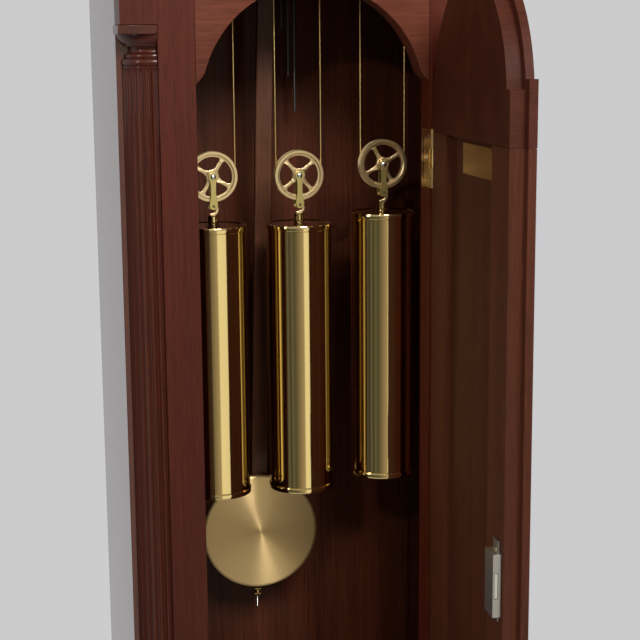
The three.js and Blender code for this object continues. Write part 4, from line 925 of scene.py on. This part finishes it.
def arch_rail_outline():
    edge = RAIL_HI.x
    left = [(-x * MM, RAIL_LO.z + rise * MM) for x, rise in reversed(CUSP)]
    right = [(x * MM, RAIL_LO.z + rise * MM) for x, rise in CUSP]
    curve = arc((0, ARCH_CENTRE_Z), ARCH_RADIUS, 180 - CUSP_START, CUSP_START, 72)
    return [(edge, RAIL_HI.z), (-edge, RAIL_HI.z), (-edge, RAIL_LO.z), *left, *curve, *right, (edge, RAIL_LO.z)]


rail = plate([arch_rail_outline()], RAIL_HI.y - RAIL_LO.y, 0.6 * MM, (RAIL_LO.y + RAIL_HI.y) / 2)
finish_piece("arch_rail_cut", *rail, wood_across, "case", "mahogany", ["arch_rail"], sharp=30)

# %% [markdown]
# Small brass work finishes the door: countersunk screws in the hinge leaves, a thin dark strip on each
# frame leaf as painted shade for the recess that the leaf folds over, and a blank engraved plate held by
# two pins. The pieces on the door are laid out with the door shut, and then turned with it about the hinge.

# %% Hinge screws and plate
HINGE = Vector(joints["trunk_door_hinge"]["pos_m"])
DOOR = Matrix.Translation(HINGE) @ Matrix.Rotation(DOOR_ANGLE, 4, "Z") @ Matrix.Translation(-HINGE)
TOWARD_OPENING = Matrix.Rotation(math.radians(-90), 4, "Y")
SCREW_HEAD = [(0, -1.0), (0.45, -1.0), (0.5, 0.02), (1.9, 0.22), (2.2, 0.12), (2.3, 0), (2.3, -1), (0, -1)]


def screw_head(scale=1.0):
    return lathe([(r * MM * scale, h * MM * scale) for r, h in SCREW_HEAD], 28)


for level in ("upper", "lower"):
    leaf_lo, leaf_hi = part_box(f"hinge_{level}_frame_leaf")
    middle = (leaf_lo.z + leaf_hi.z) / 2
    heads = [moved(screw_head(), Matrix.Translation((leaf_lo.x, leaf_hi.y - back * MM, middle + rise * MM))
                   @ TOWARD_OPENING) for back, rise in ((17, 20), (12, 0), (17, -20))]
    finish_piece(f"hinge_screws_{level}", *together(*heads), bright_steel, "case", "steel")
    # Painted shade: a thin dark sheet on the frame leaf where the recess behind it would lie in shadow.
    slot = block((leaf_lo.x - 0.06 * MM, leaf_hi.y - 5.5 * MM, middle - 20 * MM),
                 (leaf_lo.x + 0.2 * MM, leaf_hi.y - 3 * MM, middle + 20 * MM))
    finish_piece(f"hinge_painted_shade_{level}", *slot, blued_steel, "case", "dark_steel")
PLATE_LEFT, PLATE_RIGHT, PLATE_LOW, PLATE_HIGH, PLATE_FACE = -61.2, 26.2, 1186, 1212, -91.3


def plate_ring(inset, width):
    outer = [(PLATE_LEFT + inset, PLATE_LOW + inset), (PLATE_RIGHT - inset, PLATE_LOW + inset),
             (PLATE_RIGHT - inset, PLATE_HIGH - inset), (PLATE_LEFT + inset, PLATE_HIGH - inset)]
    hole = [(x + width * (1 if x < 0 else -1), z + width * (1 if z < (PLATE_LOW + PLATE_HIGH) / 2 else -1))
            for x, z in outer]
    return plate([[(x * MM, z * MM) for x, z in ring] for ring in (outer, hole)], 0.4 * MM, 0.08 * MM,
                 PLATE_FACE * MM)


engraved = together(plate_ring(1.2, 0.7), plate_ring(2.6, 0.35))
finish_piece("plate_border", *engraved, polished, "trunk_door", "brass", (), DOOR)
pins = [moved(screw_head(0.7), Matrix.Translation((x * MM, PLATE_FACE * MM, (PLATE_LOW + PLATE_HIGH) / 2 * MM))
              @ Matrix.Rotation(math.radians(-90), 4, "X")) for x in (PLATE_LEFT + 5, PLATE_RIGHT - 5)]
finish_piece("plate_pins", *together(*pins), bright_steel, "trunk_door", "steel", (), DOOR)

# %% [markdown]
# The dial carries a silvered chapter ring with hour numerals and a minute track, a boss for the hands,
# cast corner pieces and a plain domed disc in the arch. Numerals start as text, become mesh, and stand
# a fraction of a millimetre proud, as engraved and filled figures would look from the front.

# %% Dial
DIAL_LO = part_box("dial_plate")[0]
DIAL_CENTRE = Vector((0, DIAL_LO.y, 1683 * MM))
RING_OUTER, RING_INNER, RING_RISE = 131 * MM, 88 * MM, 1.2 * MM
NUMERALS = ("XII", "I", "II", "III", "IIII", "V", "VI", "VII", "VIII", "IX", "X", "XI")
ring = [(RING_INNER, 0.3 * MM), (RING_INNER, -RING_RISE + 0.3 * MM), (RING_INNER + 0.3 * MM, -RING_RISE),
        (RING_OUTER - 0.3 * MM, -RING_RISE), (RING_OUTER, -RING_RISE + 0.3 * MM), (RING_OUTER, 0.3 * MM),
        (RING_INNER, 0.3 * MM)]
finish_piece("chapter_ring", *lathe(ring, 144, DIAL_CENTRE, "Y"), silvering, "case", "silvered")


def numeral(text, size):
    curve = bpy.data.curves.new("numeral", "FONT")
    curve.body, curve.size = text, size
    curve.align_x, curve.align_y = "CENTER", "CENTER"
    curve.extrude = 0.12 * MM
    holder = bpy.data.objects.new("numeral", curve)
    bpy.context.scene.collection.objects.link(holder)
    bpy.context.view_layer.update()
    mesh = bpy.data.meshes.new_from_object(holder.evaluated_get(bpy.context.evaluated_depsgraph_get()))
    vertices = [Vector((v.co.x, -v.co.z, v.co.y)) for v in mesh.vertices]
    faces = [tuple(face.vertices) for face in mesh.polygons]
    bpy.data.objects.remove(holder)
    bpy.data.curves.remove(curve)
    bpy.data.meshes.remove(mesh)
    return vertices, faces


def round_dial(part, share, radius):
    turn = Matrix.Rotation(2 * math.pi * share, 4, "Y")
    face = Vector((0, -RING_RISE - 0.05 * MM, radius))
    return moved(part, Matrix.Translation(DIAL_CENTRE) @ turn @ Matrix.Translation(face))


figures = [round_dial(numeral(text, 27 * MM), i / 12, 106 * MM) for i, text in enumerate(NUMERALS)]
ticks = [round_dial(block((-w * MM, -0.1 * MM, -h * MM), (w * MM, 0.1 * MM, h * MM)), i / 60, 125.5 * MM)
         for i in range(60) for w, h in [(0.7, 2.6) if i % 5 == 0 else (0.35, 2)]]
TRACK = [(122.6, -1.1), (122.6, -1.3), (123.0, -1.3), (123.0, -1.1), (122.6, -1.1)]
track = lathe([(r * MM, y * MM) for r, y in TRACK], 144, DIAL_CENTRE, "Y")
finish_piece("dial_figures", *together(*figures, *ticks, track), blued_steel, "case", "dark_steel", sharp=30)
boss = [(9 * MM, 0.2 * MM), (14 * MM, -0.2 * MM), (14 * MM, -1.4 * MM), (12 * MM, -2 * MM), (9 * MM, -2.2 * MM),
        (9 * MM, 0.2 * MM)]
MOUNT_REACH = 120 * MM
petals = []
for sign_x in (-1, 1):
    for rise in (-1, 1):
        for k in range(9):
            spot = Vector((sign_x * MOUNT_REACH, DIAL_LO.y, DIAL_CENTRE.z + rise * MOUNT_REACH))
            reach = Vector((math.cos(k * math.pi / 4), 0, math.sin(k * math.pi / 4))) * (8 * MM if k else 0)
            size = 4.2 if k else 5.5
            angles = [i * math.pi / 16 for i in range(9)]
            dome = [(size * MM * math.cos(a), -2.6 * MM * math.sin(a)) for a in angles]
            petals.append(lathe([(0, 0.2 * MM), (size * MM, 0.2 * MM), *dome], 24, spot + reach, "Y"))
arch_disc = [(0, 0.2 * MM), (47 * MM, 0.2 * MM), (47 * MM, -1.2 * MM),
             (44 * MM, -2.2 * MM), (41 * MM, -1.2 * MM), (30 * MM, -2.6 * MM), (16 * MM, -3.6 * MM), (0, -4 * MM)]
finish_piece("dial_mounts", *together(lathe(boss, 64, DIAL_CENTRE, "Y"), *petals,
             lathe(arch_disc, 96, Vector((0, DIAL_LO.y, 1868 * MM)), "Y")), gilt, "case", "brass", sharp=30)

# %% [markdown]
# A slim turned column stands at each front corner of the hood, between the moulding and the cornice,
# with brass rings at both ends. It is clear of the hood door when the door swings open.

# %% Hood columns
COLUMN_LOW, COLUMN_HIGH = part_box("hood_moulding")[1].z + 1.2 * MM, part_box("cornice")[0].z - 0.5 * MM
HOOD_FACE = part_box("hood_front")[0].y
HOOD_COLUMN_X, HOOD_COLUMN_OUT = 191 * MM, 12 * MM
TURNING = [(11, 0), (11, 4), (9, 5), (10.2, 8), (9, 11), (7, 12.5), (7, 15), (8, 17), (8, 19),
           (6.6, 21), (6.6, 60), (7.2, 150)]
for side, sign in (("left", -1), ("right", 1)):
    half = [(r * MM, COLUMN_LOW + h * MM) for r, h in TURNING]
    upper = [(r * MM, COLUMN_HIGH - h * MM) for r, h in reversed(TURNING)]
    place = Vector((sign * HOOD_COLUMN_X, HOOD_FACE - HOOD_COLUMN_OUT, 0))
    finish_piece(f"hood_column_{side}", *lathe([(0, COLUMN_LOW), *half, *upper, (0, COLUMN_HIGH)], 48, place),
                 wood_column, "case", "mahogany", sharp=40)
    rings = [lathe([(6.4 * MM, z - 1.6 * MM), (8.2 * MM, z - 1.6 * MM), (8.8 * MM, z), (8.2 * MM, z + 1.6 * MM),
                    (6.4 * MM, z + 1.6 * MM), (6.4 * MM, z - 1.6 * MM)], 48, place)
             for z in (COLUMN_LOW + 24 * MM, COLUMN_HIGH - 24 * MM)]
    finish_piece(f"hood_column_rings_{side}", *together(*rings), gilt, "case", "brass", sharp=40)
